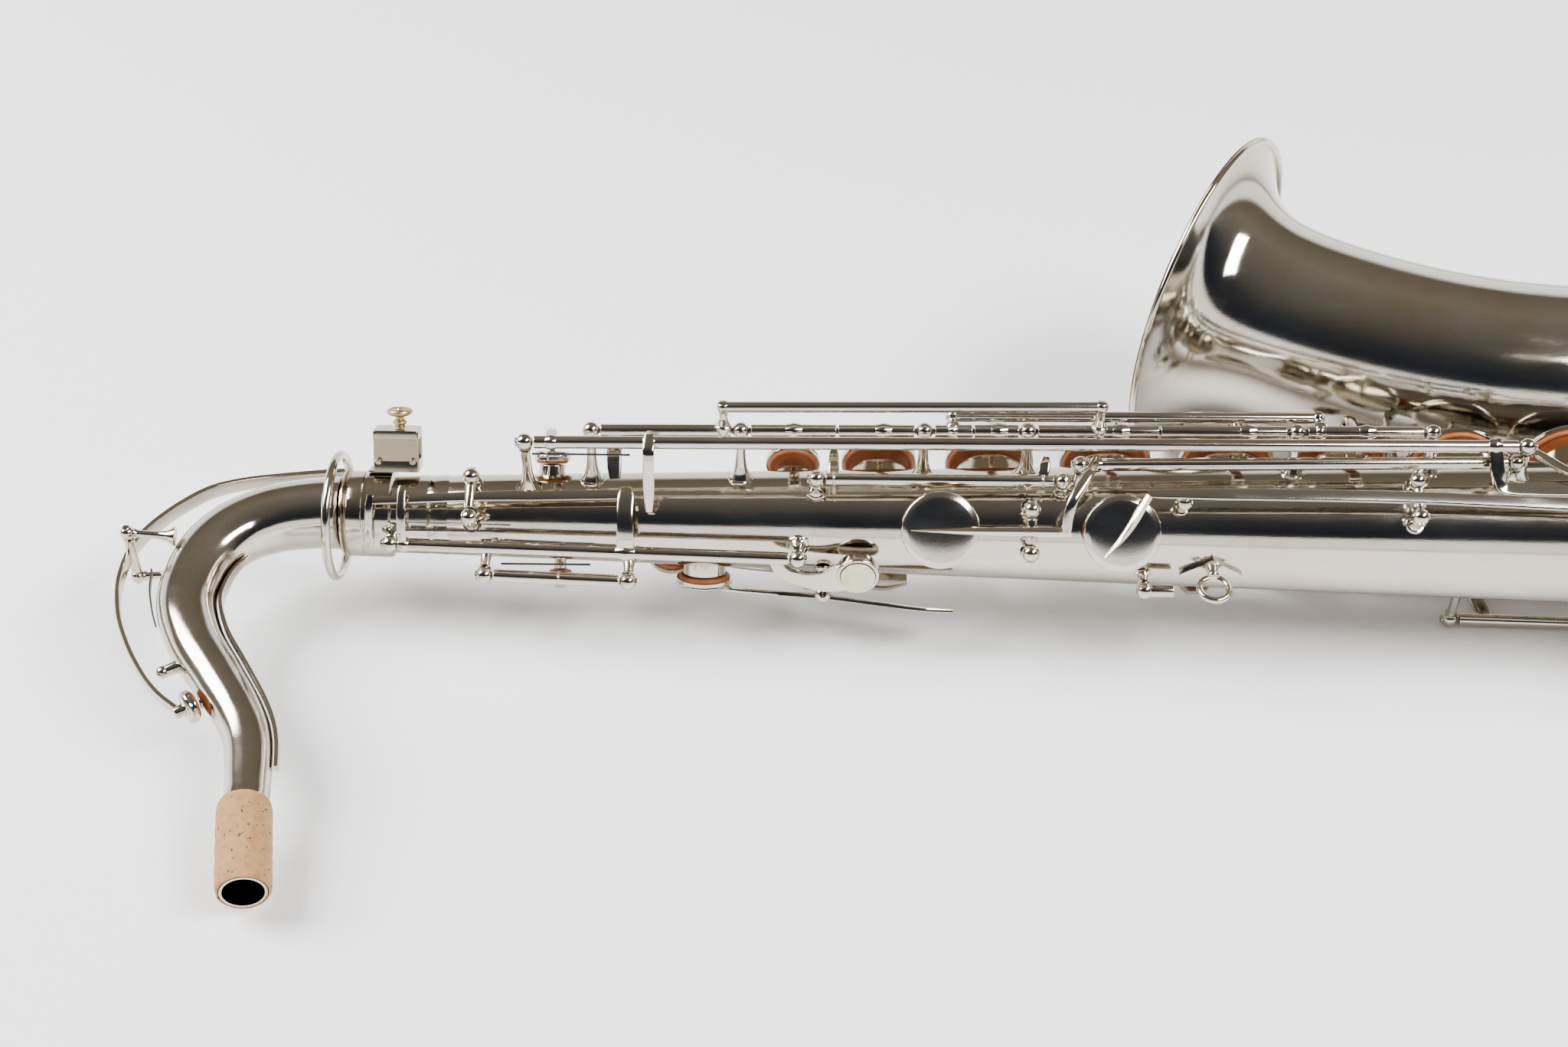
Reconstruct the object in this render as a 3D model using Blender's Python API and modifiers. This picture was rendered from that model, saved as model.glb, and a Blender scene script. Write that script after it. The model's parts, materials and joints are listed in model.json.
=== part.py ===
"""An old nickel-plated tenor saxophone, lying on its left side, as an assembly of separate pieces.

Design frame, in millimetres: +X runs down the body tube from the neck socket to the bow, +Y points
to the front (the bell side) and +Z to the player's right. Round the body, phi is 0 at the back,
90 on the right and 180 at the front, so a point is given by its place X, its angle phi and its
distance R from the body's axis. The whole instrument hangs from one empty, which lays it down.
"""

from math import cos, exp, pi, radians, sin

import bmesh
import bpy
from mathutils import Matrix, Vector

MM = 0.001

# Body, bow, bell and neck
BODY_R0 = 13.75           # outer radius of the cone at X = 0
BODY_TAPER = 0.0278       # growth of that radius per millimetre
WALL = 1.0
SOCKET_START = -22.0
SOCKET_END = -4.5
SOCKET_R = 15.3
SOCKET_BORE = 12.75
TENON_R = 12.45
BODY_END = 632.0
BOW_START = 633.0
BOW_TURN = 641.0
BOW_R = 42.0              # radius of the bow's centre line
BOW_END_R = 34.4
BELL_FLARE = 27.0
BELL_FLARE_LENGTH = 9.0
BELL_PATH = [(297.5, 129.6), (318.5, 116.5), (338.6, 105.5), (357.7, 96.7), (376, 90), (393.4, 85.5),
             (410, 82.8), (440, 81), (520, 81.5), (632, 84)]
BELL_SIDE_R = 36.4        # outer radius where the bell's tone holes are
BELL_STEPS = [0, 1.5, 4, 7, 11, 16, 23, 34, 50, 70, 90, 115, 150, 230, 300, 344]
NECK_PATH = [(-23.2, 0.0), (-33, -0.4), (-47, -3.7), (-59.3, -11.6), (-67.5, -25), (-69.6, -44), (-63.6, -62.3),
             (-52.7, -79.7), (-43.2, -94.8), (-37.9, -107.2), (-35, -125.6), (-34.1, -135.8), (-29.2, -165.9)]
NECK_R = (12.9, 7.3)
NECK_STRAIGHT = 42.0      # the length at the cork with no taper
CORK_LENGTH = 34.0
CORK_R = 8.95

# Key work
TUBE_R = 2.25             # hinge tubes
ROD_R = 1.0               # steel rods inside the stacks' tubes
BALL_R = 3.0              # heads of the posts
GAP = 0.3                 # play between neighbours
CHIMNEY = 3.2             # height of a tone hole's rim above the body
CUP_HEIGHT = 4.6          # from the pad's face to the cup's top
PAD_PROUD = 1.2           # how far a pad stands out of its cup
PAD_THICK = 3.2
CUP_WALL = 0.8

# Mesh fineness
TUBE_SIDES = 8
CUP_SIDES = 14
POST_SIDES = 6
BODY_SIDES = 26
BODY_TWIST = 2.7          # keeps the tube's edges off the tone holes' middles, in degrees

# The three points that it lies on: the bell's rim and two post heads on the left side
REST_SLOPE_X = -0.02683
REST_SLOPE_Y = -0.1508
REST_LEVEL = -38.47
LYING_SHIFT = (-309.99, -8.92, 0.26)

NICKEL = ((0.62, 0.60, 0.56), 1.0, 0.22)
BRASS = ((0.62, 0.47, 0.22), 1.0, 0.38)
STEEL = ((0.10, 0.11, 0.15), 1.0, 0.35)
LEATHER = ((0.50, 0.22, 0.09), 0.0, 0.62)
CORK = ((0.62, 0.42, 0.23), 0.0, 0.85)
PEARL = ((0.80, 0.80, 0.62), 0.0, 0.25)


def body_r(x):
    return BODY_R0 + BODY_TAPER * x


def radial(phi):
    return Vector((0, -cos(radians(phi)), sin(radians(phi))))


def around(phi):
    """The way phi grows, at right angles to the body's axis."""
    return Vector((0, sin(radians(phi)), cos(radians(phi))))


def at(x, phi, r):
    return Vector((x, 0, 0)) + radial(phi) * r


def lying_matrix():
    """Lays the instrument on its three resting points, with its floor at z = 0."""
    up = Vector((-REST_SLOPE_X, -REST_SLOPE_Y, 1)).normalized()
    along = (Vector((1, 0, 0)) - up * up.x).normalized()
    across = up.cross(along)
    turn = Matrix((along, across, up)).to_4x4()
    floor = turn @ Vector((0, 0, REST_LEVEL))
    return Matrix.Translation((Vector(LYING_SHIFT) - Vector((0, 0, floor.z))) * MM) @ turn


# ---------------------------------------------------------------- shapes, as bmeshes in millimetres

def facing(origin, direction):
    return Matrix.Translation(origin) @ Vector(direction).to_track_quat("Z", "Y").to_matrix().to_4x4()


def cone(a, b, ra, rb=None, sides=TUBE_SIDES):
    a, b = Vector(a), Vector(b)
    bm = bmesh.new()
    bmesh.ops.create_cone(bm, cap_ends=True, segments=sides, radius1=ra, radius2=ra if rb is None else rb,
                          depth=(b - a).length, matrix=facing((a + b) / 2, b - a))
    return bm


def ball(centre, r=BALL_R, pole=(0, 0, 1), sides=POST_SIDES, rings=4):
    bm = bmesh.new()
    bmesh.ops.create_uvsphere(bm, u_segments=sides, v_segments=rings, radius=r, matrix=facing(Vector(centre), pole))
    return bm


def evaluated(obj):
    """The object's mesh after its modifiers, as a bmesh; the object is removed."""
    graph = bpy.context.evaluated_depsgraph_get()
    mesh = bpy.data.meshes.new_from_object(obj.evaluated_get(graph))
    bm = bmesh.new()
    bm.from_mesh(mesh)
    bpy.data.meshes.remove(mesh)
    bpy.data.objects.remove(obj)
    return bm


def temporary(name, data):
    obj = bpy.data.objects.new(name, data)
    bpy.context.scene.collection.objects.link(obj)
    return obj


def turned(profile, origin, direction, sides, closed=False):
    """A profile of (radius, height) pairs, down its outer side, turned about direction."""
    mesh = bpy.data.meshes.new("profile")
    edges = [(i, i + 1) for i in range(len(profile) - 1)]
    if closed:
        edges.append((len(profile) - 1, 0))
    mesh.from_pydata([(r, 0, h) for r, h in profile], edges, [])
    obj = temporary("profile", mesh)
    screw = obj.modifiers.new("turn", "SCREW")
    screw.steps = screw.render_steps = sides
    screw.use_merge_vertices = True
    screw.merge_threshold = 0.0001
    bpy.context.view_layer.update()
    bm = evaluated(obj)
    bmesh.ops.transform(bm, matrix=facing(Vector(origin), direction), verts=bm.verts)
    bmesh.ops.recalc_face_normals(bm, faces=bm.faces)
    return bm


def curve_object(points, radii, resolution, caps):
    curve = bpy.data.curves.new("path", "CURVE")
    curve.dimensions = "3D"
    curve.bevel_depth = 1.0
    curve.bevel_resolution = resolution
    curve.use_fill_caps = caps
    curve.twist_mode = "Z_UP"
    spline = curve.splines.new("POLY")
    spline.points.add(len(points) - 1)
    for point, place, r in zip(spline.points, points, radii):
        point.co = (*place, 1)
        point.radius = r
    return temporary("path", curve)


def shell(points, radii, wall, resolution):
    """A tube of changing radius, open at both ends, with its wall inside."""
    bm = evaluated(curve_object(points, radii, resolution, False))
    mesh = bpy.data.meshes.new("shell")
    bm.to_mesh(mesh)
    bm.free()
    obj = temporary("shell", mesh)
    solidify = obj.modifiers.new("wall", "SOLIDIFY")
    solidify.thickness = wall
    solidify.offset = -1
    bpy.context.view_layer.update()
    bm = evaluated(obj)
    bmesh.ops.recalc_face_normals(bm, faces=bm.faces)
    return bm


def wire(points, r, resolution=2):
    bm = evaluated(curve_object([Vector(p) for p in points], [r] * len(points), resolution, True))
    bmesh.ops.remove_doubles(bm, verts=bm.verts, dist=0.0001)
    bmesh.ops.recalc_face_normals(bm, faces=bm.faces)
    return bm


def torus(centre, axis, ring_r, r, sides):
    turns = 8
    profile = [(ring_r + r * sin(2 * pi * i / turns), r * cos(2 * pi * i / turns)) for i in range(turns)]
    return turned(profile, centre, axis, sides, closed=True)


def bar(points, widths, thick, up=None):
    """A flat bar through the points. Its flat side faces up, or away from the body's axis."""
    points = [Vector(p) for p in points]
    bm = bmesh.new()
    rings = []
    for i, p in enumerate(points):
        tangent = (points[min(i + 1, len(points) - 1)] - points[max(i - 1, 0)]).normalized()
        out = Vector(up) if up else Vector((0, p.y, p.z)).normalized()
        side = tangent.cross(out).normalized()
        out = side.cross(tangent)
        w, t = side * widths[i] / 2, out * thick / 2
        rings.append([bm.verts.new(p + a * w + b * t) for a, b in ((-1, -1), (1, -1), (1, 1), (-1, 1))])
    for low, high in zip(rings, rings[1:]):
        for i in range(4):
            bm.faces.new((low[i], low[(i + 1) % 4], high[(i + 1) % 4], high[i]))
    bm.faces.new(rings[0])
    bm.faces.new(rings[-1])
    bmesh.ops.recalc_face_normals(bm, faces=bm.faces)
    return bm


def to_object(bm, name):
    mesh = bpy.data.meshes.new(name)
    bm.to_mesh(mesh)
    bm.free()
    return temporary(name, mesh)


def combined(base, others, operation, solver="EXACT"):
    """The base bmesh with the others joined to it or cut from it."""
    obj = to_object(base, "base")
    tools = [to_object(other, "tool") for other in others]
    for tool in tools:
        step = obj.modifiers.new("step", "BOOLEAN")
        step.operation = operation
        step.solver = solver
        step.object = tool
    bpy.context.view_layer.update()
    bm = evaluated(obj)
    for tool in tools:
        bpy.data.objects.remove(tool)
    return bm


def union(shapes):
    return combined(shapes[0], shapes[1:], "UNION") if len(shapes) > 1 else shapes[0]


# ---------------------------------------------------------------- nodes

PARTS = bpy.data.collections.new("tenor_saxophone")
MATERIALS = {}
HINGES = {}               # key name: (point on the axis, unit axis, limit in degrees)


def material(name, look):
    colour, metallic, roughness = look
    made = bpy.data.materials.new(name)
    made.use_nodes = True
    shader = made.node_tree.nodes["Principled BSDF"]
    shader.inputs["Base Color"].default_value = (*colour, 1)
    shader.inputs["Metallic"].default_value = metallic
    shader.inputs["Roughness"].default_value = roughness
    return made


def node(name, bm, look, lying, hinge=None):
    """Puts a finished shape in the collection. A moving piece's origin is on its hinge."""
    pivot = Vector(hinge[0]) if hinge else Vector((0, 0, 0))
    bmesh.ops.transform(bm, matrix=Matrix.Scale(MM, 4) @ Matrix.Translation(-pivot), verts=bm.verts)
    mesh = bpy.data.meshes.new(name)
    bm.to_mesh(mesh)
    bm.free()
    mesh.shade_smooth()
    mesh.set_sharp_from_angle(angle=radians(40))
    mesh.materials.append(material(name, look))
    obj = bpy.data.objects.new(name, mesh)
    PARTS.objects.link(obj)
    obj.parent = lying
    obj.location = pivot * MM
    if hinge:
        HINGES[name] = hinge
    return obj


# ---------------------------------------------------------------- fixed structure

# Tone holes in the body: name: (X, phi, radius of the rim, radius of the cup)
HOLES = {
    "high_e": (51, 130, 4.6, 6.6),
    "vent": (54, -52, 2.2, 5.0),
    "palm_f": (70, -145, 6.6, 9.0),
    "palm_eb": (105, -62, 7.6, 10.0),
    "palm_d": (93, -104, 7.0, 9.4),
    "c": (136, 180, 7.4, 9.8),
    "b": (167, 180, 11.0, 13.5),
    "a": (207, 180, 13.4, 16.0),
    "g": (249, 180, 13.9, 16.5),
    "f_sharp": (293, 180, 14.3, 17.0),
    "f": (334, 180, 14.8, 17.5),
    "e": (377, 180, 15.6, 18.4),
    "d": (419, 180, 16.6, 19.5),
    "side_c": (186.8, 38, 10.6, 13.5),
    "side_bb": (249, 38, 10.6, 13.4),
    "g_sharp": (270.5, -130, 9.6, 12.2),
    "low_eb": (470, 165, 15.4, 18.0),
    "low_c": (590, 140, 14.4, 17.0),
}

# Tone holes in the bell's left side: name: (X, Y, radius of the rim, radius of the cup)
BELL_HOLES = {
    "low_bb": (440, 81.0, 21.0, 24.0),
    "low_b": (503, 81.3, 20.0, 23.0),
    "low_cs": (588, 82.9, 17.0, 20.0),
}

# Hinge lines of the keys that turn on rods along the body
STACK_LINE = (Vector((65.8, 7.8, 34.2)), Vector((357, 9.6, 37.2)))
UPPER = (STACK_LINE[0], STACK_LINE[0].lerp(STACK_LINE[1], 0.5192))
LOWER = (UPPER[1], STACK_LINE[1])
LEFT_STACK = (Vector((356, 9, -34)), Vector((440, 10, -36.5)))
HIGH_E = (Vector((43.9, -2.85, 37.9)), Vector((387.3, 0.9, 39.3)))
SIDE_C = (Vector((235, -1.4, 29.8)), Vector((384.8, 0, 32.6)))
TRILL = (Vector((144, -5.3, 25.0)), Vector((229, -5.3, 25.6)))
THUMB = (at(-3, 16, 22), at(138, 13.5, 26.5))
VENT = (at(29.2, -9, 26), at(79, -14, 26.3))
G_SHARP = (Vector((246, 14, -34)), Vector((298, 14.5, -35)))
LOW_NOTES = (Vector((378, 0, -45.6)), Vector((560, 0, -50.5)))
LOW_CS = (Vector((560, 0, -50.5)), Vector((622, 0, -51.1)))
TABLE = (Vector((306, 24, -38)), Vector((578, 24, -42)))
LONE_POST = at(258.5, -10, 28)
LOW_C = (Vector((430, 13, 36)), Vector((608, 15, 41.5)))
LOW_EB = (Vector((430, -2, 38.5)), Vector((502, -1.5, 41)))

STACK_POSTS = [(UPPER, 0), (UPPER, 0.3426), (UPPER, 0.7632), (LOWER, 0), (LOWER, 0.664), (LOWER, 1)]
END_POSTS = [LEFT_STACK, HIGH_E, SIDE_C, TRILL, THUMB, VENT, G_SHARP, LOW_NOTES, TABLE, LOW_C, LOW_EB]

# Rocking keys: their pivot lies across the body. name: (X, phi, R of the pivot, half the width between heads)
ROCKERS = {
    "octave_lever": (24.6, 61, 21.5, 7.4),
    "side_c_lever": (218, 38, 25.6, 7.6),
    "side_bb_key": (350, 64, 30.5, 6.6),
    "palm_eb_key": (147, -45, 26.0, 6.0),
    "palm_d_key": (142, -95, 26.5, 6.0),
    "palm_f_key": (128, -133, 27.0, 6.0),
}


def along(line, t):
    return line[0] + (line[1] - line[0]) * t


def on_line(line, x):
    return along(line, (x - line[0].x) / (line[1].x - line[0].x))


def post(head, foot_phi=None):
    """A turned post from inside the tube's wall up to its round head."""
    head = Vector(head)
    out = Vector((0, head.y, head.z)).normalized() if foot_phi is None else radial(foot_phi)
    height = head.dot(out)
    side = (head - out * height - Vector((head.x, 0, 0))).length
    surface = (max(body_r(head.x), SOCKET_R if head.x < SOCKET_END else 0) ** 2 - side ** 2) ** 0.5
    foot = head - out * (height - surface + WALL * 0.6)
    return [cone(foot, head, 2.7, 1.6, POST_SIDES), ball(head, pole=out)]


def rocker_frame(name):
    x, phi, r, half = ROCKERS[name]
    centre = at(x, phi, r)
    return centre, around(phi), half


def body_tube(lying):
    outer = [(body_r(BODY_END), BODY_END), (body_r(SOCKET_END), SOCKET_END),
             (SOCKET_R, SOCKET_END - 0.5), (SOCKET_R, SOCKET_START)]
    inner = [(SOCKET_BORE, SOCKET_START), (SOCKET_BORE, 2.0), (body_r(BODY_END) - WALL, BODY_END)]
    tube = turned(outer + inner, (0, 0, 0), (1, 0, 0), BODY_SIDES, closed=True)
    bmesh.ops.rotate(tube, verts=tube.verts, matrix=Matrix.Rotation(radians(BODY_TWIST), 3, "X"))
    rims, bores = [], []
    for x, phi, r, _ in HOLES.values():
        top = body_r(x) + CHIMNEY
        low = (max(body_r(x) - 0.5, 0) ** 2 - r ** 2) ** 0.5
        rims.append(cone(at(x, phi, low - 0.4), at(x, phi, top), r, sides=CUP_SIDES))
        bores.append(cone(at(x, phi, low - 4), at(x, phi, top + 2), r - 1.1, sides=CUP_SIDES))
    posts = []
    for line, t in STACK_POSTS:
        posts += post(along(line, t))
    for line in END_POSTS:
        posts += post(line[0]) + post(line[1])
    posts += post(LOW_CS[1]) + post(LONE_POST)
    posts.append(cone(LONE_POST, LONE_POST + Vector((10, 0, 0)), TUBE_R))
    for name, (x, phi, r, half) in ROCKERS.items():
        for side in (-1, 1):
            posts += post(at(x, phi, r) + around(phi) * side * half, phi)
    posts += post(at(270, 61, 27.5))
    drilled = combined(combined(tube, rims, "UNION", "MANIFOLD"), bores, "DIFFERENCE", "MANIFOLD")
    way = (STACK_LINE[1] - STACK_LINE[0]).normalized()
    rod_bore = cone(STACK_LINE[0] - way * 6, STACK_LINE[1] + way * 6, ROD_R + GAP)
    fitted = combined(drilled, posts, "UNION", "MANIFOLD")
    node("body_tube", combined(fitted, [rod_bore], "DIFFERENCE", "MANIFOLD"), NICKEL, lying)


def smooth_path(points, steps):
    """Catmull-Rom through 2D points, read at the given lengths along it."""
    pts = [Vector((x, y, 0)) for x, y in points]
    pts = [pts[0] * 2 - pts[1]] + pts + [pts[-1] * 2 - pts[-2]]
    dense = []
    for i in range(1, len(pts) - 2):
        p0, p1, p2, p3 = pts[i - 1:i + 3]
        for k in range(24):
            t = k / 24
            dense.append(0.5 * (2 * p1 + (p2 - p0) * t + (2 * p0 - 5 * p1 + 4 * p2 - p3) * t * t
                                + (3 * p1 - p0 - 3 * p2 + p3) * t ** 3))
    dense.append(pts[-2])
    lengths = [0]
    for a, b in zip(dense, dense[1:]):
        lengths.append(lengths[-1] + (b - a).length)
    out = []
    for s in steps:
        s = min(max(s, 0), lengths[-1])
        k = max(i for i in range(len(lengths) - 1) if lengths[i] <= s)
        t = (s - lengths[k]) / (lengths[k + 1] - lengths[k])
        out.append(dense[k].lerp(dense[k + 1], t))
    return out, lengths[-1]


def bell_radius(s, length):
    return 38.6 - (38.6 - BOW_END_R) * (s / length) ** 0.8 + BELL_FLARE * exp(-s / BELL_FLARE_LENGTH)


def bell(lying):
    length = smooth_path(BELL_PATH, [0])[1]
    steps = BELL_STEPS[:-1] + [length]
    points = smooth_path(BELL_PATH, steps)[0]
    tube = shell(points, [bell_radius(s, length) for s in steps], WALL, 9)
    rims, bores = [], []
    sides = CUP_SIDES + 2
    for x, y, r, _ in BELL_HOLES.values():
        top = BELL_SIDE_R + CHIMNEY
        low = (BELL_SIDE_R ** 2 - r ** 2) ** 0.5 - 3
        rims.append(cone((x, y, -low), (x, y, -top), r, sides=sides))
        bores.append(cone((x, y, 6 - low), (x, y, -top - 2), r - 1.2, sides=sides))
    node("bell", combined(combined(tube, rims, "UNION"), bores, "DIFFERENCE"), NICKEL, lying)


def bow(lying):
    points = [Vector((BOW_START, 0, 0)), Vector((BOW_TURN, 0, 0))]
    turns = 12
    points += [Vector((BOW_TURN + BOW_R * sin(pi * i / turns), BOW_R - BOW_R * cos(pi * i / turns), 0))
               for i in range(1, turns)]
    points += [Vector((BOW_TURN, 2 * BOW_R, 0)), Vector((BOW_START, 2 * BOW_R, 0))]
    start = body_r(BODY_END)
    radii = [start + (BOW_END_R - start) * i / (len(points) - 1) for i in range(len(points))]
    node("bow", shell(points, radii, WALL, 7), NICKEL, lying)
    for name, y, r in (("body_bow_ring", 0, start), ("bell_bow_ring", 2 * BOW_R, BOW_END_R)):
        ring = turned([(r + 2.4, 640.2), (r + 2.4, 626.5), (r + 0.7, 626.5), (r + 0.7, 640.2)],
                      (0, y, 0), (1, 0, 0), 24, closed=True)
        node(name, ring, NICKEL, lying)


def neck_radius(s, length):
    return NECK_R[0] + (NECK_R[1] - NECK_R[0]) * min(s / (length - NECK_STRAIGHT), 1)


def neck(lying):
    length = smooth_path(NECK_PATH, [0])[1]
    steps = [length * i / 26 for i in range(27)]
    points = smooth_path(NECK_PATH, steps)[0]
    radii = [neck_radius(s, length) for s in steps]
    tube = shell(points, radii, 0.8, 6)
    saddle = []
    for side in (-1, 1):
        saddle.append(cone((-74, -22.3, side * 9), (-92.8, -22.3, side * 10.6), 2.2, 1.5, POST_SIDES))
        saddle.append(ball((-92.8, -22.3, side * 10.6), 2.5, (-1, 0, 0)))
    guide = [cone((-61, -70.5, 0), (-71, -76.5, 0), 3.0, 1.9, POST_SIDES), ball((-71.5, -76.8, 0), 2.2, (-1, -0.6, 0))]
    pip = [cone((-50, -86, 0), (-57, -90, 0), 2.6, 2.2, TUBE_SIDES)]
    node("neck_tube", combined(tube, saddle + guide + pip, "UNION"), NICKEL, lying)
    tenon = turned([(TENON_R, 1), (TENON_R, -21.9), (11.3, -21.9), (11.3, 1)], (0, 0, 0), (1, 0, 0), 24, closed=True)
    node("neck_tenon", tenon, BRASS, lying)
    cork_steps = [length - CORK_LENGTH * (1 - i / 4) for i in range(5)]
    cork_points = smooth_path(NECK_PATH, cork_steps)[0]
    node("neck_cork", shell(cork_points, [CORK_R] * 5, CORK_R - NECK_R[1] - 0.35, 6), CORK, lying)
    brace_steps = [length * (0.22 + 0.55 * i / 14) for i in range(15)]
    brace_points = smooth_path(NECK_PATH, [s - 1 for s in brace_steps])[0]
    inner = []
    for i, (p, s) in enumerate(zip(brace_points, brace_steps)):
        a = smooth_path(NECK_PATH, [s - 2, s + 2])[0]
        tangent = (a[1] - a[0]).normalized()
        inward = Vector((-tangent.y, tangent.x, 0))
        r = neck_radius(s, length)
        inner.append(p + inward * (r + 0.35 + 0.9))
    widths = [2.5 + 4.5 * sin(pi * i / 14) for i in range(15)]
    node("neck_brace", strip_bar(inner, widths, 1.6), NICKEL, lying)


def fittings(lying):
    block = bar([at(-3, 120, 16.2), at(-3, 120, 31)], [16, 16], 10, up=around(120))
    flange = bar([at(-12.5, 120, 16.6), at(3.5, 120, 16.6)], [9, 9], 1.2)
    hole = cone(at(-15, 120, 24), at(9, 120, 24), 3.8, sides=8)
    node("lyre_holder", combined(union([block, flange]), [hole], "DIFFERENCE"), NICKEL, lying)
    screw = [cone(at(-2, 120, 31.3), at(-2, 120, 36), 1.7, sides=8),
             cone(at(-2, 120, 35.6), at(-2, 120, 38.6), 4.6, sides=12)]
    node("lyre_screw", union(screw), BRASS, lying)
    plate = bar([at(271, -2, 22.4), at(276.5, 4, 22.6), at(281.5, 12, 22.7), at(286.5, 4, 22.9), at(292, -2, 23.0)],
                [2.2, 5, 13, 5, 2.2], 1.2)
    eye = cone(at(281.5, 4, 22.0), at(281.5, 1, 27.8), 2.6, 1.8, 8)
    ring = torus((281.5, -31.5, 0.4), (0, -0.06, 1), 5.05, 1.3, 14)
    node("strap_ring", union([plate, eye, ring]), NICKEL, lying)
    hook = [bar([at(452, 4, 27.2), at(470, 4, 27.8)], [11, 11], 1.6),
            bar([at(461, 4, 27.5), at(461, 4, 36), at(458, 12, 42), at(452, 28, 44)], [8, 8, 8, 7], 2.2, up=(1, 0, 0.1))]
    node("thumb_hook", union(hook), NICKEL, lying)
    brace = bar([(355, 24.2, 0), (355, 34, 0), (355, 46, 0), (355, 55.6, 0)], [10, 5, 5, 12], 2.4, up=(1, 0, 0))
    node("bell_brace", brace, NICKEL, lying)
    guard = wire([(411, 83, -37.4), (411, 83, -52), (418, 83, -57.8), (523, 82, -59.4), (530, 82, -54), (530, 82, -36.4)], 2.0)
    node("bell_key_guard", guard, NICKEL, lying)
    for name, line, lead in (("upper_stack_rod", UPPER, (-2, -0.6)), ("lower_stack_rod", LOWER, (0.6, 2.2))):
        way = (line[1] - line[0]).normalized()
        node(name, cone(line[0] + way * lead[0], line[1] + way * lead[1], ROD_R, sides=6), STEEL, lying)


# ---------------------------------------------------------------- keys

def cup(hole):
    x, phi, _, r = HOLES[hole]
    return cup_at(at(x, phi, body_r(x) + CHIMNEY + GAP), radial(phi), r)


def cup_at(face, out, r, solid=True):
    """A pad cup on a tone hole: its pad's face lies at face, and its top looks along out."""
    top = CUP_HEIGHT
    profile = [(0, top), (r * 0.82, top), (r, top - 1.2), (r, PAD_PROUD)]
    if solid:
        profile += [(r - CUP_WALL, PAD_PROUD), (r - CUP_WALL - 0.3, 0), (0, 0)]
    else:
        profile += [(r - CUP_WALL, PAD_PROUD), (r - CUP_WALL, PAD_THICK + GAP), (0, PAD_THICK + GAP)]
    return turned(profile, face, out, CUP_SIDES)


def pad_at(face, out, r):
    pr = r - CUP_WALL - GAP
    return turned([(0, PAD_THICK), (pr, PAD_THICK), (pr, 0), (0, 0)], face, out, CUP_SIDES)


def hinge_tube(line, x0, x1, hollow=False):
    a, b = on_line(line, x0), on_line(line, x1)
    tube = cone(a, b, TUBE_R)
    if hollow:
        way = (b - a).normalized()
        tube = combined(tube, [cone(a - way, b + way, ROD_R + GAP)], "DIFFERENCE")
    return tube


def opened(bm, line, degrees):
    """Turns a shape about its hinge line by degrees about +X."""
    way = (line[1] - line[0]).normalized()
    turn = Matrix.Translation(line[0]) @ Matrix.Rotation(radians(degrees), 4, way) @ Matrix.Translation(-line[0])
    bmesh.ops.transform(bm, matrix=turn, verts=bm.verts)
    return bm


def line_hinge(line, sign, limit):
    way = (line[1] - line[0]).normalized() * sign
    return along(line, 0.5), way, limit


OPEN = 7.0                # how far a stack key stands open, in degrees

# Stack keys: name: (hole, hinge line, start and end of its tube)
STACK = {
    "key_c": ("c", UPPER, 121.2, 150.6),
    "key_b": ("b", UPPER, 151.4, 177.6),
    "key_a": ("a", UPPER, 198.4, 213.6),
    "key_g": ("g", LOWER, 220.4, 262.0),
    "key_f_sharp": ("f_sharp", LOWER, 262.8, 306.2),
    "key_f": ("f", LOWER, 313.6, 353.4),
    "key_e": ("e", LEFT_STACK, 359.6, 397.0),
    "key_d": ("d", LEFT_STACK, 398.0, 436.4),
}


def stack_arm(hole, line, x_hinge):
    """The arm from the hinge tube round to the middle of the cup."""
    x, _, _, r = HOLES[hole]
    side = 1 if line[0].z > 0 else -1
    top = body_r(x) + CHIMNEY + GAP + CUP_HEIGHT
    start = on_line(line, x_hinge)
    points = [start, Vector((x, 12, side * 28.5)), Vector((x, 18, side * (r + 8) if r > 14 else side * 23)),
              Vector((x, top - 0.6, side * (r + 3.6))), Vector((x, top + 0.9, side * (r - 1.5))),
              Vector((x, top + 0.7, 0))]
    return bar(points, [5.0, 4.6, 4.4, 4.0, 3.6, 2.4], 2.2)


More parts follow.
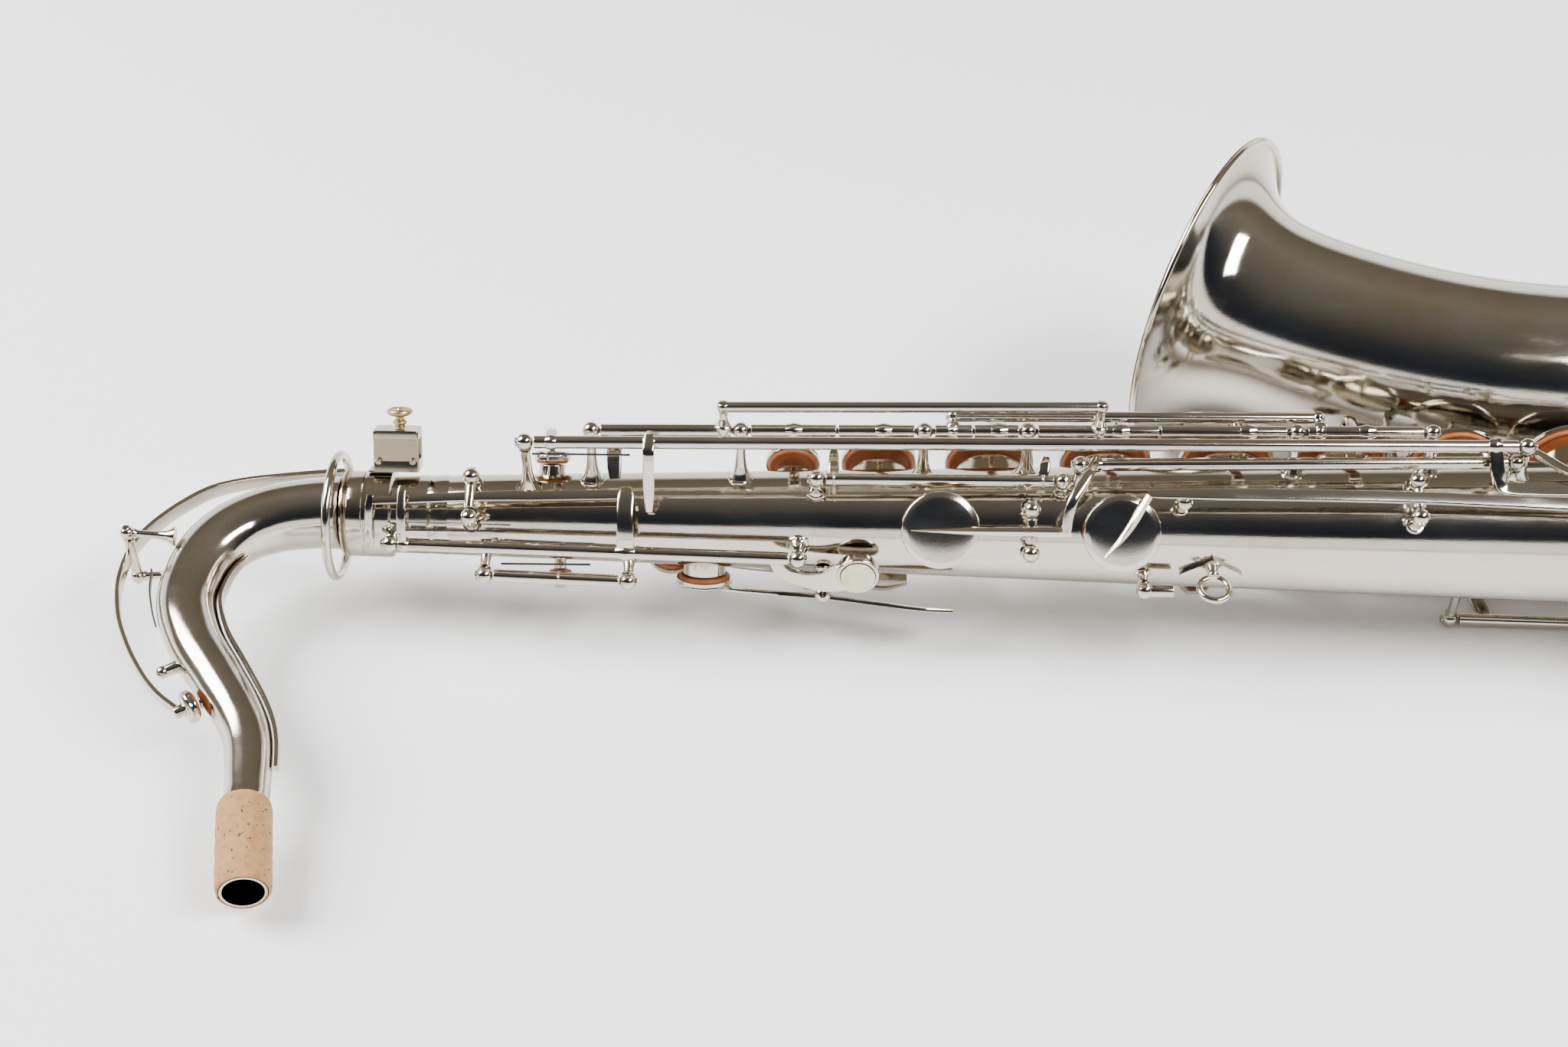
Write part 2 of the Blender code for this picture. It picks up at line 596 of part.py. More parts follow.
def stack_keys(lying):
    for name, (hole, line, x0, x1) in STACK.items():
        x, phi, _, r = HOLES[hole]
        hollow = line is not LEFT_STACK
        face = at(x, phi, body_r(x) + CHIMNEY + GAP)
        shapes = [hinge_tube(line, x0, x1), stack_arm(hole, line, min(max(x, x0 + 3), x1 - 3)),
                  cup_at(face, radial(phi), r, solid=False)]
        if name == "key_g":
            far = on_line(UPPER, 111.6) + Vector((0, 2.3, 9.6))
            near = on_line(LOWER, 241.5) + Vector((0, 2.6, 9.8))
            way = (near - far).normalized()
            shapes += [cone(far - way * 1.6, near + way * 1.6, 2.0), hinge_tube(UPPER, 69.2, 114.2),
                       cone(on_line(UPPER, 111.6), far, 1.8, 1.7, POST_SIDES),
                       cone(on_line(LOWER, 241.5), near, 1.8, 1.7, POST_SIDES),
                       bar([on_line(UPPER, 74), (74, -1, 28.6), (74.5, -6.5, 25.2)], [6, 5, 5], 1.8)]
        if name == "key_f":
            far = on_line(UPPER, 191) + Vector((0, 6.1, 0.9))
            near = on_line(LOWER, 318) + Vector((0, 6.4, 0.2))
            way = (near - far).normalized()
            shapes += [cone(far - way * 1.6, near + way * 1.6, 2.0), hinge_tube(UPPER, 184.8, 197.6),
                       cone(on_line(UPPER, 191), far, 1.8, 1.7, POST_SIDES),
                       cone(on_line(LOWER, 318), near, 1.8, 1.7, POST_SIDES)]
        whole = union(shapes)
        if hollow:
            way = (line[1] - line[0]).normalized()
            holes = [cone(on_line(line, x0) - way * 2, on_line(line, x1) + way * 2, ROD_R + GAP)]
            if name in ("key_g", "key_f"):
                other = (UPPER[1] - UPPER[0]).normalized()
                a, b = (69.2, 114.2) if name == "key_g" else (184.8, 197.6)
                holes.append(cone(on_line(UPPER, a) - other * 2, on_line(UPPER, b) + other * 2, ROD_R + GAP))
            whole = combined(whole, holes, "DIFFERENCE")
        sign = 1 if hollow else -1
        node(name, opened(whole, line, sign * OPEN), NICKEL, lying, line_hinge(line, -sign, OPEN - 0.3))
        node("pad_" + name[4:], opened(pad_at(face, radial(phi), r), line, sign * OPEN), LEATHER, lying)


def plain_key(name, shapes, line, sign, limit, lying, open_now=0):
    """A key on a solid tube between two posts. It turns about sign times +X, up to limit degrees."""
    whole = union(shapes)
    if open_now:
        opened(whole, line, open_now)
    node(name, whole, NICKEL, lying, line_hinge(line, sign, limit))


def long_keys(lying):
    """The keys on long tubes along the body."""
    gap = BALL_R + GAP
    e_tube = hinge_tube(HIGH_E, 43.9 + gap, 387.3 - gap)
    e_cup = cup("high_e")
    e_arm = bar([on_line(HIGH_E, 53), (52, 9, 33), (51, 18, 24), at(51, 130, body_r(51) + 8.2)], [4, 4, 3.4, 2.4], 2.0)
    e_lever = bar([on_line(HIGH_E, 86.5) + Vector((0, 1, 2.6)), on_line(HIGH_E, 86.5) + Vector((0, -6, 0)),
                   at(86.5, 66, 27.5), at(86.5, 50, 21)], [4, 4, 4, 3], 1.8)
    e_touch = bar([on_line(HIGH_E, 376) + Vector((0, 1, 2.4)), (377, -6, 33), (379, -8.4, 28.6), (384, -8.8, 28.3),
                   (412, -9.2, 29.2), (440, -9.6, 29.8), (449, -9.8, 30)], [5, 5, 5.6, 6, 7, 7, 5], 2.0)
    plain_key("high_e_key", [e_tube, e_arm, e_cup, e_lever, e_touch], HIGH_E, 1, 7, lying)

    c_tube = hinge_tube(SIDE_C, 235 + gap, 384.8 - gap)
    c_arm = bar([on_line(SIDE_C, 240.4) + Vector((0, 0.5, 2.2)), at(236, 72, 33.2), at(231, 58, 33.6),
                 at(229.5, 46, 31.2), at(229.5, 38, 30.4)], [3.6, 3.6, 3.6, 3.6, 3.6], 2.0)
    c_touch = bar([on_line(SIDE_C, 378) + Vector((0, 1, 0)), (382, 5.6, 33.4), (390, 5.6, 33.8), (396, 0, 33.6),
                   (402, -6.4, 33.6), (430, -8, 33.8), (452, -8, 34), (462, -9, 34), (484, -10, 34)],
                  [4.4, 3.4, 3.4, 3.4, 3.4, 3.4, 4, 11, 8], 2.0, up=(0, 0, 1))
    plain_key("side_c_key", [c_tube, c_arm, c_touch], SIDE_C, 1, 3.6, lying)

    t_tube = hinge_tube(TRILL, 144 + gap, 229 - gap)
    t_touch = bar([on_line(TRILL, 222) + Vector((0, 0, 1)), (222.5, -2, 29), (223, 1, 31)], [4, 4, 3.4], 1.8)
    t_arm = bar([on_line(TRILL, 150), (150, 2, 27.6), (150, 8, 27.2)], [4, 3.6, 3], 1.8)
    plain_key("trill_lever", [t_tube, t_touch, t_arm], TRILL, 1, 5, lying)


def octave_keys(lying):
    gap = BALL_R + GAP
    tube = hinge_tube(THUMB, -3 + gap, 138 - gap)
    hook = bar([on_line(THUMB, 1.6), at(1.6, 26, 25.2), at(1.6, 44, 25.8), at(1.6, 60, 25.6), at(1.6, 66, 25.4)],
               [3, 3, 3, 3, 3], 1.8)
    flat = bar([on_line(THUMB, 78.5), at(78.5, 26, 26), at(78.5, 44, 25.6), at(78.5, 60, 25), at(78.5, 69, 24.6)],
               [6, 6, 5.6, 5.6, 5], 1.8)
    plate = bar([on_line(THUMB, 129.6), (133, -27.6, 0.8), (141, -28, -1.8), (148, -28, -2.5), (158.8, -26, 0.5)],
                [5, 5, 6, 9, 15], 2.2,
                up=(0, -1, 0.1))
    seat = turned([(0, 2.2), (7.4, 2.2), (7.4, -2.2), (0, -2.2)], at(158.8, 1, 26), radial(6), 12)
    line_axis = line_hinge(THUMB, 1, 7)
    node("thumb_key", union([tube, hook, flat, plate, seat]), NICKEL, lying, line_axis)
    pearl = turned([(0, 2.0), (4.6, 1.3), (6.0, 0), (0, 0)], at(158.8, 1, 28.5), radial(6), 14)
    node("thumb_pearl", pearl, PEARL, lying)

    v_tube = hinge_tube(VENT, 29.2 + gap, 79 - gap)
    v_cup = cup("vent")
    v_arm = bar([on_line(VENT, 55), (55, -22, -13), at(54, -52, body_r(54) + 8.0)], [4, 3.6, 3], 1.8)
    v_flag = bar([on_line(VENT, 38), at(38, -24, 24.5)], [8, 9], 1.8)
    plain_key("vent_key", [v_tube, v_arm, v_cup, v_flag], VENT, -1, 8, lying)


def rocker_shapes(name, points, widths, thick, tube_r=1.7):
    centre, side, half = rocker_frame(name)
    reach = half - BALL_R - GAP
    return [bar(points, widths, thick), cone(centre - side * reach, centre + side * reach, tube_r)]


def rocker_keys(lying):
    """The keys that rock about a pivot across the body."""
    def hinge(name, sign, limit):
        centre, side, _ = rocker_frame(name)
        return centre, side * sign, limit

    o = "octave_lever"
    bar_points = [at(-9, 56, 21.4), at(24.6, 61, 21.9), at(77, 66, 21.2)]
    shapes = rocker_shapes(o, bar_points, [3.6, 3.2, 5.0], 1.8)
    shapes.append(bar([at(-10, 62, 20.8), at(-10.6, 46, 19.4), at(-10.8, 30, 18.6), at(-10.8, 16, 18.3), at(-10.6, 4, 18.6)],
                      [2.8, 2.8, 2.8, 2.8, 2.6], 1.8))
    node(o, union(shapes), NICKEL, lying, hinge(o, 1, 2))

    c = "side_c_lever"
    top = body_r(186.8) + CHIMNEY + GAP + CUP_HEIGHT
    points = [at(179, 38, top + 0.3), at(197, 38, top + 0.5), at(218, 38, 26.9), at(231.5, 38, 26.9)]
    shapes = rocker_shapes(c, points, [0.8, 2.6, 3.6, 4.2], 2.2) + [cup("side_c")]
    node(c, union(shapes), NICKEL, lying, hinge(c, 1, 6))

    b = "side_bb_key"
    top = body_r(249) + CHIMNEY + GAP + CUP_HEIGHT
    lever = bar([at(245, 26, top + 0.6), at(250, 38, top + 0.6), at(257.5, 62, 32.8)], [0.9, 2.6, 3.6], 2.4)
    points = [at(256.6, 63, 32.8), at(300, 64, 32.4), at(350, 64, 31.6), at(400, 60, 33), at(430, 58, 34.6),
              at(446, 57, 35.4)]
    shapes = rocker_shapes(b, points, [4, 4.4, 4.4, 4.6, 6, 5], 2.0) + [lever, cup("side_bb")]
    node(b, union(shapes), NICKEL, lying, hinge(b, 1, 2.2))

    palm = (("palm_eb_key", "palm_eb", [(122, 25.6), (147, 26.9), (165, 29), (180, 31), (193, 31.5)], [3, 3.6, 6, 13, 7]),
            ("palm_d_key", "palm_d", [(120, 26), (142, 27.6), (156, 30), (168, 32), (178, 32.4)], [3, 3.6, 6, 12, 6]),
            ("palm_f_key", "palm_f", [(100, 26), (128, 28), (142, 31), (154, 33), (164, 33.4)], [3, 3.6, 5, 9, 5]))
    for name, hole, route, widths in palm:
        x, cup_phi, _, _ = HOLES[hole]
        _, phi, _, _ = ROCKERS[name]
        top = body_r(x) + CHIMNEY + GAP + CUP_HEIGHT
        points = [at(x, cup_phi, top + 0.4)] + [at(px, phi, r) for px, r in route]
        shapes = rocker_shapes(name, points, [2.4] + widths, 2.0) + [cup(hole)]
        node(name, union(shapes), NICKEL, lying, hinge(name, 1, 6))


def low_keys(lying):
    """G sharp, the little fingers' keys and the keys of the bell."""
    gap = BALL_R + GAP
    gs = [hinge_tube(G_SHARP, 246 + gap, 298 - gap), cup("g_sharp"),
          bar([on_line(G_SHARP, 270.5), at(270.5, -122, 32.5), at(270.5, -130, body_r(270.5) + 8.2)], [5, 4, 3], 2.0),
          bar([on_line(G_SHARP, 284), (284, 8, -37.5), (284, 3, -37)], [8, 12, 9], 2.0, up=(0, 0, -1))]
    plain_key("g_sharp_key", gs, G_SHARP, -1, 7, lying)

    eb = [hinge_tube(LOW_EB, 430 + gap, 502 - gap), cup("low_eb"),
          bar([on_line(LOW_EB, 470), (470, 6, 30.5), (470, 18, 29.6), (470, 28.5, 25), (470, 34.2, 16),
               at(470, 165, body_r(470) + 8.3)], [5, 4.6, 4.4, 4.4, 4, 3], 2.2),
          bar([on_line(LOW_EB, 439), (439, -8, 41), (439, -15, 40.5)], [9, 13, 9], 2.0, up=(0, 0, 1))]
    plain_key("low_eb_key", eb, LOW_EB, 1, 8, lying)

    lc = [hinge_tube(LOW_C, 430 + gap, 608 - gap), cup("low_c"),
          bar([on_line(LOW_C, 590), (590, 24, 36.5), (590, 28.5, 29), at(590, 140, body_r(590) + 8.3)],
              [5, 4.4, 4, 3], 2.2),
          bar([on_line(LOW_C, 452), (452, 20, 40), (452, 30, 42.5), (452, 38, 42.5)], [8, 10, 13, 8], 2.0,
              up=(0, 0, 1))]
    plain_key("low_c_key", lc, LOW_C, -1, 6.4, lying, open_now=6.7)

    def bell_cup(hole):
        x, y, _, r = BELL_HOLES[hole]
        return cup_at((x, y, -BELL_SIDE_R - CHIMNEY - GAP), (0, 0, -1), r)

    top = -BELL_SIDE_R - CHIMNEY - GAP - CUP_HEIGHT - 0.4
    for name, hole, line, x0, x1 in (("low_bb_key", "low_bb", LOW_NOTES, 378 + gap, 470),
                                     ("low_b_key", "low_b", LOW_NOTES, 471, 560 - gap),
                                     ("low_c_sharp_key", "low_cs", LOW_CS, 560 + gap, 622 - gap)):
        x, y, _, r = BELL_HOLES[hole]
        shapes = [hinge_tube(line, x0, x1), bell_cup(hole),
                  bar([on_line(line, x), (x, 22, top - 1), (x, 48, top - 0.6), (x, y, top)], [6, 5.4, 5, 3], 2.4,
                      up=(0, 0, -1))]
        if hole == "low_bb":
            shapes.append(bar([on_line(line, 392), (390, 14, -46), (386, 32, -44.5), (372, 42, -43.5), (358, 46, -43),
                               (352, 54, -43)], [6, 6, 6, 7, 13, 9], 2.0, up=(0, 0, -1)))
        if hole == "low_b":
            shapes += [bar([on_line(line, 476), (476, 16, -48), (476, 30, -46.5), (476, 32, -40)], [5, 5, 5, 5], 2.2,
                           up=(0, 0, -1)),
                       cone((338, 32, -38), (478, 32, -38.5), 1.7),
                       bar([(341, 32, -38.2), (338, 40, -39.5), (336, 52, -40)], [6, 12, 9], 2.0, up=(0, 0, -1))]
        if hole == "low_cs":
            shapes.append(bar([on_line(line, 570.5), (570.5, 8, -49.9), (570.5, 14, -49.6)], [5, 5, 5], 2.0,
                              up=(0, 0, -1)))
        is_open = hole != "low_cs"
        plain_key(name, shapes, line, 1 if is_open else -1, 3.6, lying, open_now=-3.8 if is_open else 0)

    lever = [hinge_tube(TABLE, TABLE[0].x + gap, TABLE[1].x - gap),
             bar([on_line(TABLE, 318), (318, 34, -40.5), (318, 44, -41)], [8, 12, 9], 2.0, up=(0, 0, -1)),
             bar([on_line(TABLE, 571), (571, 17, -46), (571, 10, -46.8)], [5, 5, 5], 2.2, up=(0, 0, -1))]
    plain_key("low_c_sharp_lever", lever, TABLE, 1, 2.6, lying)


def neck_key(lying):
    tilt = radians(2.4)
    ring = torus((-24.2, -1.2, 0), (cos(tilt), -sin(tilt), 0), 21.4, 1.7, 24)
    strip = [(-22.6, 20.4, 0), (-30, 19.6, 0), (-44, 17.6, 0), (-60, 14.6, 0), (-72, 10, 0), (-82.5, -0.5, 0),
             (-90.5, -12, 0), (-94.2, -24, 0), (-94.6, -38, 0), (-91, -54, 0), (-84, -69, 0), (-76.5, -81, 0),
             (-70.4, -88, 0), (-62.9, -93.9, 0)]
    widths = [4.4, 5, 5, 5.4, 5.8, 6, 6, 6, 5.6, 5.2, 4.8, 4.4, 4.0, 3.6]
    down = Vector((0.83, 0.56, 0)).normalized()
    face = Vector((-57.4, -90.2, 0))
    cup_shape = cup_at(face - down * 0.3, -down, 5.6, solid=False)
    boss = cone(face - down * 4.0, face - down * 8.2, 2.4, 1.9)
    pivot = cone((-92.8, -22.3, -7.6), (-92.8, -22.3, 7.6), 1.8)
    hinge = (Vector((-92.8, -22.3, 0)), Vector((0, 0, -1)), 2)
    node("neck_octave_key", union([strip_bar(strip, widths, 1.8), ring, cup_shape, boss, pivot]), NICKEL, lying, hinge)
    pad = pad_at(face - down * 0.3, -down, 5.6)
    node("pad_neck", pad, LEATHER, lying)
    spring = strip_bar([(-84.6, -30, 0), (-83.4, -40, 0), (-80.4, -50, 0), (-78, -56, 0)], [2.6, 2.4, 2, 1.6], 0.6)
    node("neck_flat_spring", spring, STEEL, lying)


def strip_bar(points, widths, thick):
    """A flat strip bent in the neck's plane, its width across that plane."""
    points = [Vector(p) for p in points]
    bm = bmesh.new()
    rings = []
    for i, p in enumerate(points):
        tangent = (points[min(i + 1, len(points) - 1)] - points[max(i - 1, 0)]).normalized()
        out = Vector((-tangent.y, tangent.x, 0)) * thick / 2
        w = Vector((0, 0, widths[i] / 2))
        rings.append([bm.verts.new(p + a * w + b * out) for a, b in ((-1, -1), (1, -1), (1, 1), (-1, 1))])
    for low, high in zip(rings, rings[1:]):
        for i in range(4):
            bm.faces.new((low[i], low[(i + 1) % 4], high[(i + 1) % 4], high[i]))
    bm.faces.new(rings[0])
    bm.faces.new(rings[-1])
    bmesh.ops.recalc_face_normals(bm, faces=bm.faces)
    return bm


def main():
    for obj in list(bpy.data.objects):
        bpy.data.objects.remove(obj)
    bpy.context.scene.collection.children.link(PARTS)
    lying = bpy.data.objects.new("lying_pose", None)
    lying.matrix_world = lying_matrix()
    PARTS.objects.link(lying)
    body_tube(lying)
    bow(lying)
    bell(lying)
    neck(lying)
    fittings(lying)
    stack_keys(lying)
    long_keys(lying)
    octave_keys(lying)
    rocker_keys(lying)
    low_keys(lying)
    neck_key(lying)
    spring = wire([at(274, 61.5, 28.4), at(282, 62.5, 28.8), at(292, 64, 28.6)], 0.5, 1)
    node("side_bb_spring", spring, STEEL, lying)
    bpy.context.view_layer.update()


main()
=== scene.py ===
"""The looks of an old nickel-plated tenor saxophone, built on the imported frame.

Every piece is made again here with a fine surface, in the same design frame as the CAD model: millimetres,
+X down the body tube, +Y to the front (the bell side), +Z to the player's right. Round the body, phi is 0 at
the back, 90 on the right and 180 at the front. lying_matrix() lays the instrument down, in metres.
"""
import json
from math import cos, exp, pi, radians, sin

import bmesh
import bpy
from mathutils import Matrix, Vector, noise


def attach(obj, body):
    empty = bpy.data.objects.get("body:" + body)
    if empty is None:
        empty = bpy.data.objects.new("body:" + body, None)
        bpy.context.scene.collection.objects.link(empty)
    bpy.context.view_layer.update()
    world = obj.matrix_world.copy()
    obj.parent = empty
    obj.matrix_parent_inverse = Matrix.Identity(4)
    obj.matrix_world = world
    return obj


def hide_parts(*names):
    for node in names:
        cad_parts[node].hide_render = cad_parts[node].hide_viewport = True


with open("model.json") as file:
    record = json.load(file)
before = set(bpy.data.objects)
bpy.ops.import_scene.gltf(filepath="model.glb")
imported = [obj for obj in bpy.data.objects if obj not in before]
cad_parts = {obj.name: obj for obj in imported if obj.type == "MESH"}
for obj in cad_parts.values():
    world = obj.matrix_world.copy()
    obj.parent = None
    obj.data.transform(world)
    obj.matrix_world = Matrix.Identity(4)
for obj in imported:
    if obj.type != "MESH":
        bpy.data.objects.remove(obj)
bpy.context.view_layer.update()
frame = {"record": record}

MM = 0.001
ROUND = 48                # sides of turned shapes
FINE = 128                # sides of the big tubes
SLIM = 20                 # sides of rods and small turned shapes

# Body, bow, bell and neck
BODY_R0 = 13.75           # outer radius of the cone at X = 0
BODY_TAPER = 0.0278       # growth of that radius per millimetre
WALL = 1.0
SOCKET_START = -22.0
SOCKET_END = -4.5
SOCKET_R = 15.3
SOCKET_BORE = 12.75
TENON_R = 12.45
BODY_END = 632.0
BOW_START = 633.0
BOW_TURN = 641.0
BOW_R = 42.0              # radius of the bow's centre line
BOW_END_R = 34.4
BELL_FLARE = 27.0
BELL_FLARE_LENGTH = 9.0
BELL_PATH = [(297.5, 129.6), (318.5, 116.5), (338.6, 105.5), (357.7, 96.7), (376, 90), (393.4, 85.5),
             (410, 82.8), (440, 81), (520, 81.5), (632, 84)]
BELL_SIDE_R = 36.4        # outer radius where the bell's tone holes are
NECK_PATH = [(-23.2, 0.0), (-33, -0.4), (-47, -3.7), (-59.3, -11.6), (-67.5, -25), (-69.6, -44),
             (-63.6, -62.3), (-52.7, -79.7), (-43.2, -94.8), (-37.9, -107.2), (-35, -125.6), (-34.1, -135.8),
             (-29.2, -165.9)]
NECK_R = (12.9, 7.3)
NECK_STRAIGHT = 42.0      # the length at the cork with no taper
CORK_LENGTH = 34.0
CORK_R = 8.95
LYRE_X = -3               # middle of the lyre holder, on the socket
LYRE_PHI = 120

# Key work
TUBE_R = 2.25             # hinge tubes
ROD_R = 1.0               # steel rods inside the stacks' tubes
BALL_R = 3.0              # heads of the posts
GAP = 0.3                 # play between neighbours
CHIMNEY = 3.2             # height of a tone hole's rim above the body
CUP_HEIGHT = 4.6          # from the pad's face to the cup's top
PAD_PROUD = 1.2           # how far a pad stands out of its cup
PAD_THICK = 3.2
CUP_WALL = 0.8

# The three points that it lies on: the bell's rim and two post heads on the left side
REST_SLOPE_X = -0.02683
REST_SLOPE_Y = -0.1508
REST_LEVEL = -38.47
LYING_SHIFT = (-309.99, -8.92, 0.26)


def body_r(x):
    return BODY_R0 + BODY_TAPER * x


def radial(phi):
    return Vector((0, -cos(radians(phi)), sin(radians(phi))))


def around(phi):
    """The way phi grows, at right angles to the body's axis."""
    return Vector((0, sin(radians(phi)), cos(radians(phi))))


def at(x, phi, r):
    return Vector((x, 0, 0)) + radial(phi) * r


def lying_matrix():
    """Lays the instrument on its three resting points, with its floor at z = 0."""
    up = Vector((-REST_SLOPE_X, -REST_SLOPE_Y, 1)).normalized()
    along = (Vector((1, 0, 0)) - up * up.x).normalized()
    across = up.cross(along)
    turn = Matrix((along, across, up)).to_4x4()
    floor = turn @ Vector((0, 0, REST_LEVEL))
    return Matrix.Translation((Vector(LYING_SHIFT) - Vector((0, 0, floor.z))) * MM) @ turn


BODIES = frame["record"]["behaviour"]["bodies"]
LYING = None


def lay(point):
    """A point of the design frame, in metres where the instrument lies."""
    return LYING @ (Vector(point) * MM)


# ---------------------------------------------------------------- shapes, as bmeshes in millimetres

def facing(origin, direction):
    return Matrix.Translation(origin) @ Vector(direction).to_track_quat("Z", "Y").to_matrix().to_4x4()


def loft(rings, caps=True, joined=False):
    """Faces between rings of points. The ends are capped, or joined to each other."""
    bm = bmesh.new()
    made = [[bm.verts.new(p) for p in ring] for ring in rings]
    pairs = list(zip(made, made[1:])) + ([(made[-1], made[0])] if joined else [])
    count = len(rings[0])
    for low, high in pairs:
        for i in range(count):
            k = (i + 1) % count
            bm.faces.new((low[i], low[k], high[k], high[i]))
    if caps and not joined:
        bm.faces.new(made[0][::-1])
        bm.faces.new(made[-1])
    bmesh.ops.recalc_face_normals(bm, faces=bm.faces)
    return bm


def turned(profile, origin, direction, sides=ROUND, closed=False):
    """A profile of (radius, height) pairs turned about direction. A radius of 0 makes a pole."""
    place = facing(Vector(origin), direction)
    bm = bmesh.new()
    rings = []
    for r, h in profile:
        if r < 1e-6:
            rings.append([bm.verts.new(place @ Vector((0, 0, h)))] * sides)
        else:
            rings.append([bm.verts.new(place @ Vector((r * c, r * s, h))) for c, s in circle(sides)])
    pairs = list(zip(rings, rings[1:])) + ([(rings[-1], rings[0])] if closed else [])
    for low, high in pairs:
        for i in range(sides):
            k = (i + 1) % sides
            corners = []
            for vert in (low[i], low[k], high[k], high[i]):
                if vert not in corners:
                    corners.append(vert)
            if len(corners) > 2:
                bm.faces.new(corners)
    bmesh.ops.recalc_face_normals(bm, faces=bm.faces)
    return bm


def rounded(profile, r=0.3, steps=3):
    """The profile with its inner corners rounded by arcs of about r."""
    out = [profile[0]]
    for before, corner, after in zip(profile, profile[1:], profile[2:]):
        a, c, b = Vector(before), Vector(corner), Vector(after)
        reach = min(r, (a - c).length * 0.45, (b - c).length * 0.45)
        start = c + (a - c).normalized() * reach
        end = c + (b - c).normalized() * reach
        for i in range(steps + 1):
            t = i / steps
            p = start * (1 - t) ** 2 + c * 2 * t * (1 - t) + end * t ** 2
            out.append((p.x, p.y))
    out.append(profile[-1])
    return out


def cone(a, b, ra, rb=None, sides=SLIM, chamfer=0.3):
    """A rod from a to b with softened ends."""
    a, b = Vector(a), Vector(b)
    rb = ra if rb is None else rb
    length = (b - a).length
    return turned(rounded([(0, 0), (ra, 0), (rb, length), (0, length)], chamfer), a, b - a, sides)


def ball(centre, r=BALL_R, pole=(0, 0, 1), sides=SLIM):
    rings = sides // 2
    profile = [(r * sin(pi * i / rings), -r * cos(pi * i / rings)) for i in range(rings + 1)]
    profile[0], profile[-1] = (0, -r), (0, r)
    return turned(profile, centre, pole, sides)


def torus(centre, axis, ring_r, r, sides=72, turns=16, squeeze=1.0):
    profile = [(ring_r + r * squeeze * s, r * c) for c, s in circle(turns)]
    return turned(profile, centre, axis, sides, closed=True)


def softened(points, values, steps=5, reach=0.42):
    """The points with each bend turned into a short curve, and the values carried along."""
    points = [Vector(p) for p in points]
    out, carried = [points[0]], [values[0]]
    for i in range(1, len(points) - 1):
        a, c, b = points[i - 1], points[i], points[i + 1]
        start, end = c.lerp(a, reach), c.lerp(b, reach)
        va = values[i] + (values[i - 1] - values[i]) * reach
        vb = values[i] + (values[i + 1] - values[i]) * reach
        for k in range(steps + 1):
            t = k / steps
            out.append(start * (1 - t) ** 2 + c * 2 * t * (1 - t) + end * t ** 2)
            carried.append(va * (1 - t) ** 2 + values[i] * 2 * t * (1 - t) + vb * t ** 2)
    return out + [points[-1]], carried + [values[-1]]


def way_at(points, i):
    """The direction of a path at its point i."""
    return (points[min(i + 1, len(points) - 1)] - points[max(i - 1, 0)]).normalized()


def circle(count):
    """Cosine and sine of count equal steps round a circle."""
    return [(cos(2 * pi * k / count), sin(2 * pi * k / count)) for k in range(count)]


def swept(points, section, ups):
    """A section carried along the points. section(i) gives (across, out) pairs."""
    rings = []
    for i, p in enumerate(points):
        tangent = way_at(points, i)
        side = tangent.cross(ups(p, tangent)).normalized()
        out = side.cross(tangent)
        rings.append([p + side * a + out * b for a, b in section(i)])
    return loft(rings)


def soft_box(half_width, half_height, power, count=16):
    """A box with rounded corners, as (across, out) pairs. A lower power makes them tighter."""
    return [(half_width * abs(c) ** power * (1 if c > 0 else -1),
             half_height * abs(s) ** power * (1 if s > 0 else -1))
            for c, s in circle(count)]


def bar(points, widths, thick, up=None, roof=0.0, tip=0.75):
    """A forged bar with rounded edges. Its flat side faces up, or away from the body's axis."""
    points, widths = softened(points, widths)
    last = len(points) - 1

    def section(i):
        shrink = tip if i in (0, last) else 1.0
        w, t = widths[i] / 2 * shrink, thick / 2 * shrink
        return [(a, b + (roof * (1 - abs(a) / w) if b > 0 else 0)) for a, b in soft_box(w, t, 0.45)]

    fixed = Vector(up) if up else None
    return swept(points, section, lambda p, tangent: fixed or Vector((0, p.y, p.z)).normalized())


def strip_bar(points, widths, thick):
    """A flat strip bent in the neck's plane."""
    points, widths = softened(points, widths)
    rings = []
    for i, p in enumerate(points):
        tangent = way_at(points, i)
        out = Vector((-tangent.y, tangent.x, 0))
        rings.append([p + Vector((0, 0, a)) + out * b for a, b in soft_box(widths[i] / 2, thick / 2, 0.4)])
    return loft(rings)


def circle_rings(points, radii, sides):
    """Rings of points round a path in the X-Y plane."""
    rings = []
    for i, p in enumerate(points):
        tangent = way_at(points, i)
        side = tangent.cross(Vector((0, 0, 1))).normalized()
        rings.append([p + (side * c + Vector((0, 0, s))) * radii[i] for c, s in circle(sides)])
    return rings


def shell(points, radii, wall, sides=FINE):
    """A tube of changing radius, open at both ends, with its wall inside."""
    points = [Vector(p) for p in points]
    outer = circle_rings(points, radii, sides)
    inner = circle_rings(points, [r - wall for r in radii], sides)
    return loft(outer + inner[::-1], joined=True)


def wire(points, r, sides=12):
    points, _ = softened(points, [r] * len(points))
    return swept(points, lambda i: [(r * c, r * s) for c, s in circle(sides)],
                 lambda p, tangent: Vector((0, 0, 1)) if abs(tangent.z) < 0.9 else Vector((0, 1, 0)))


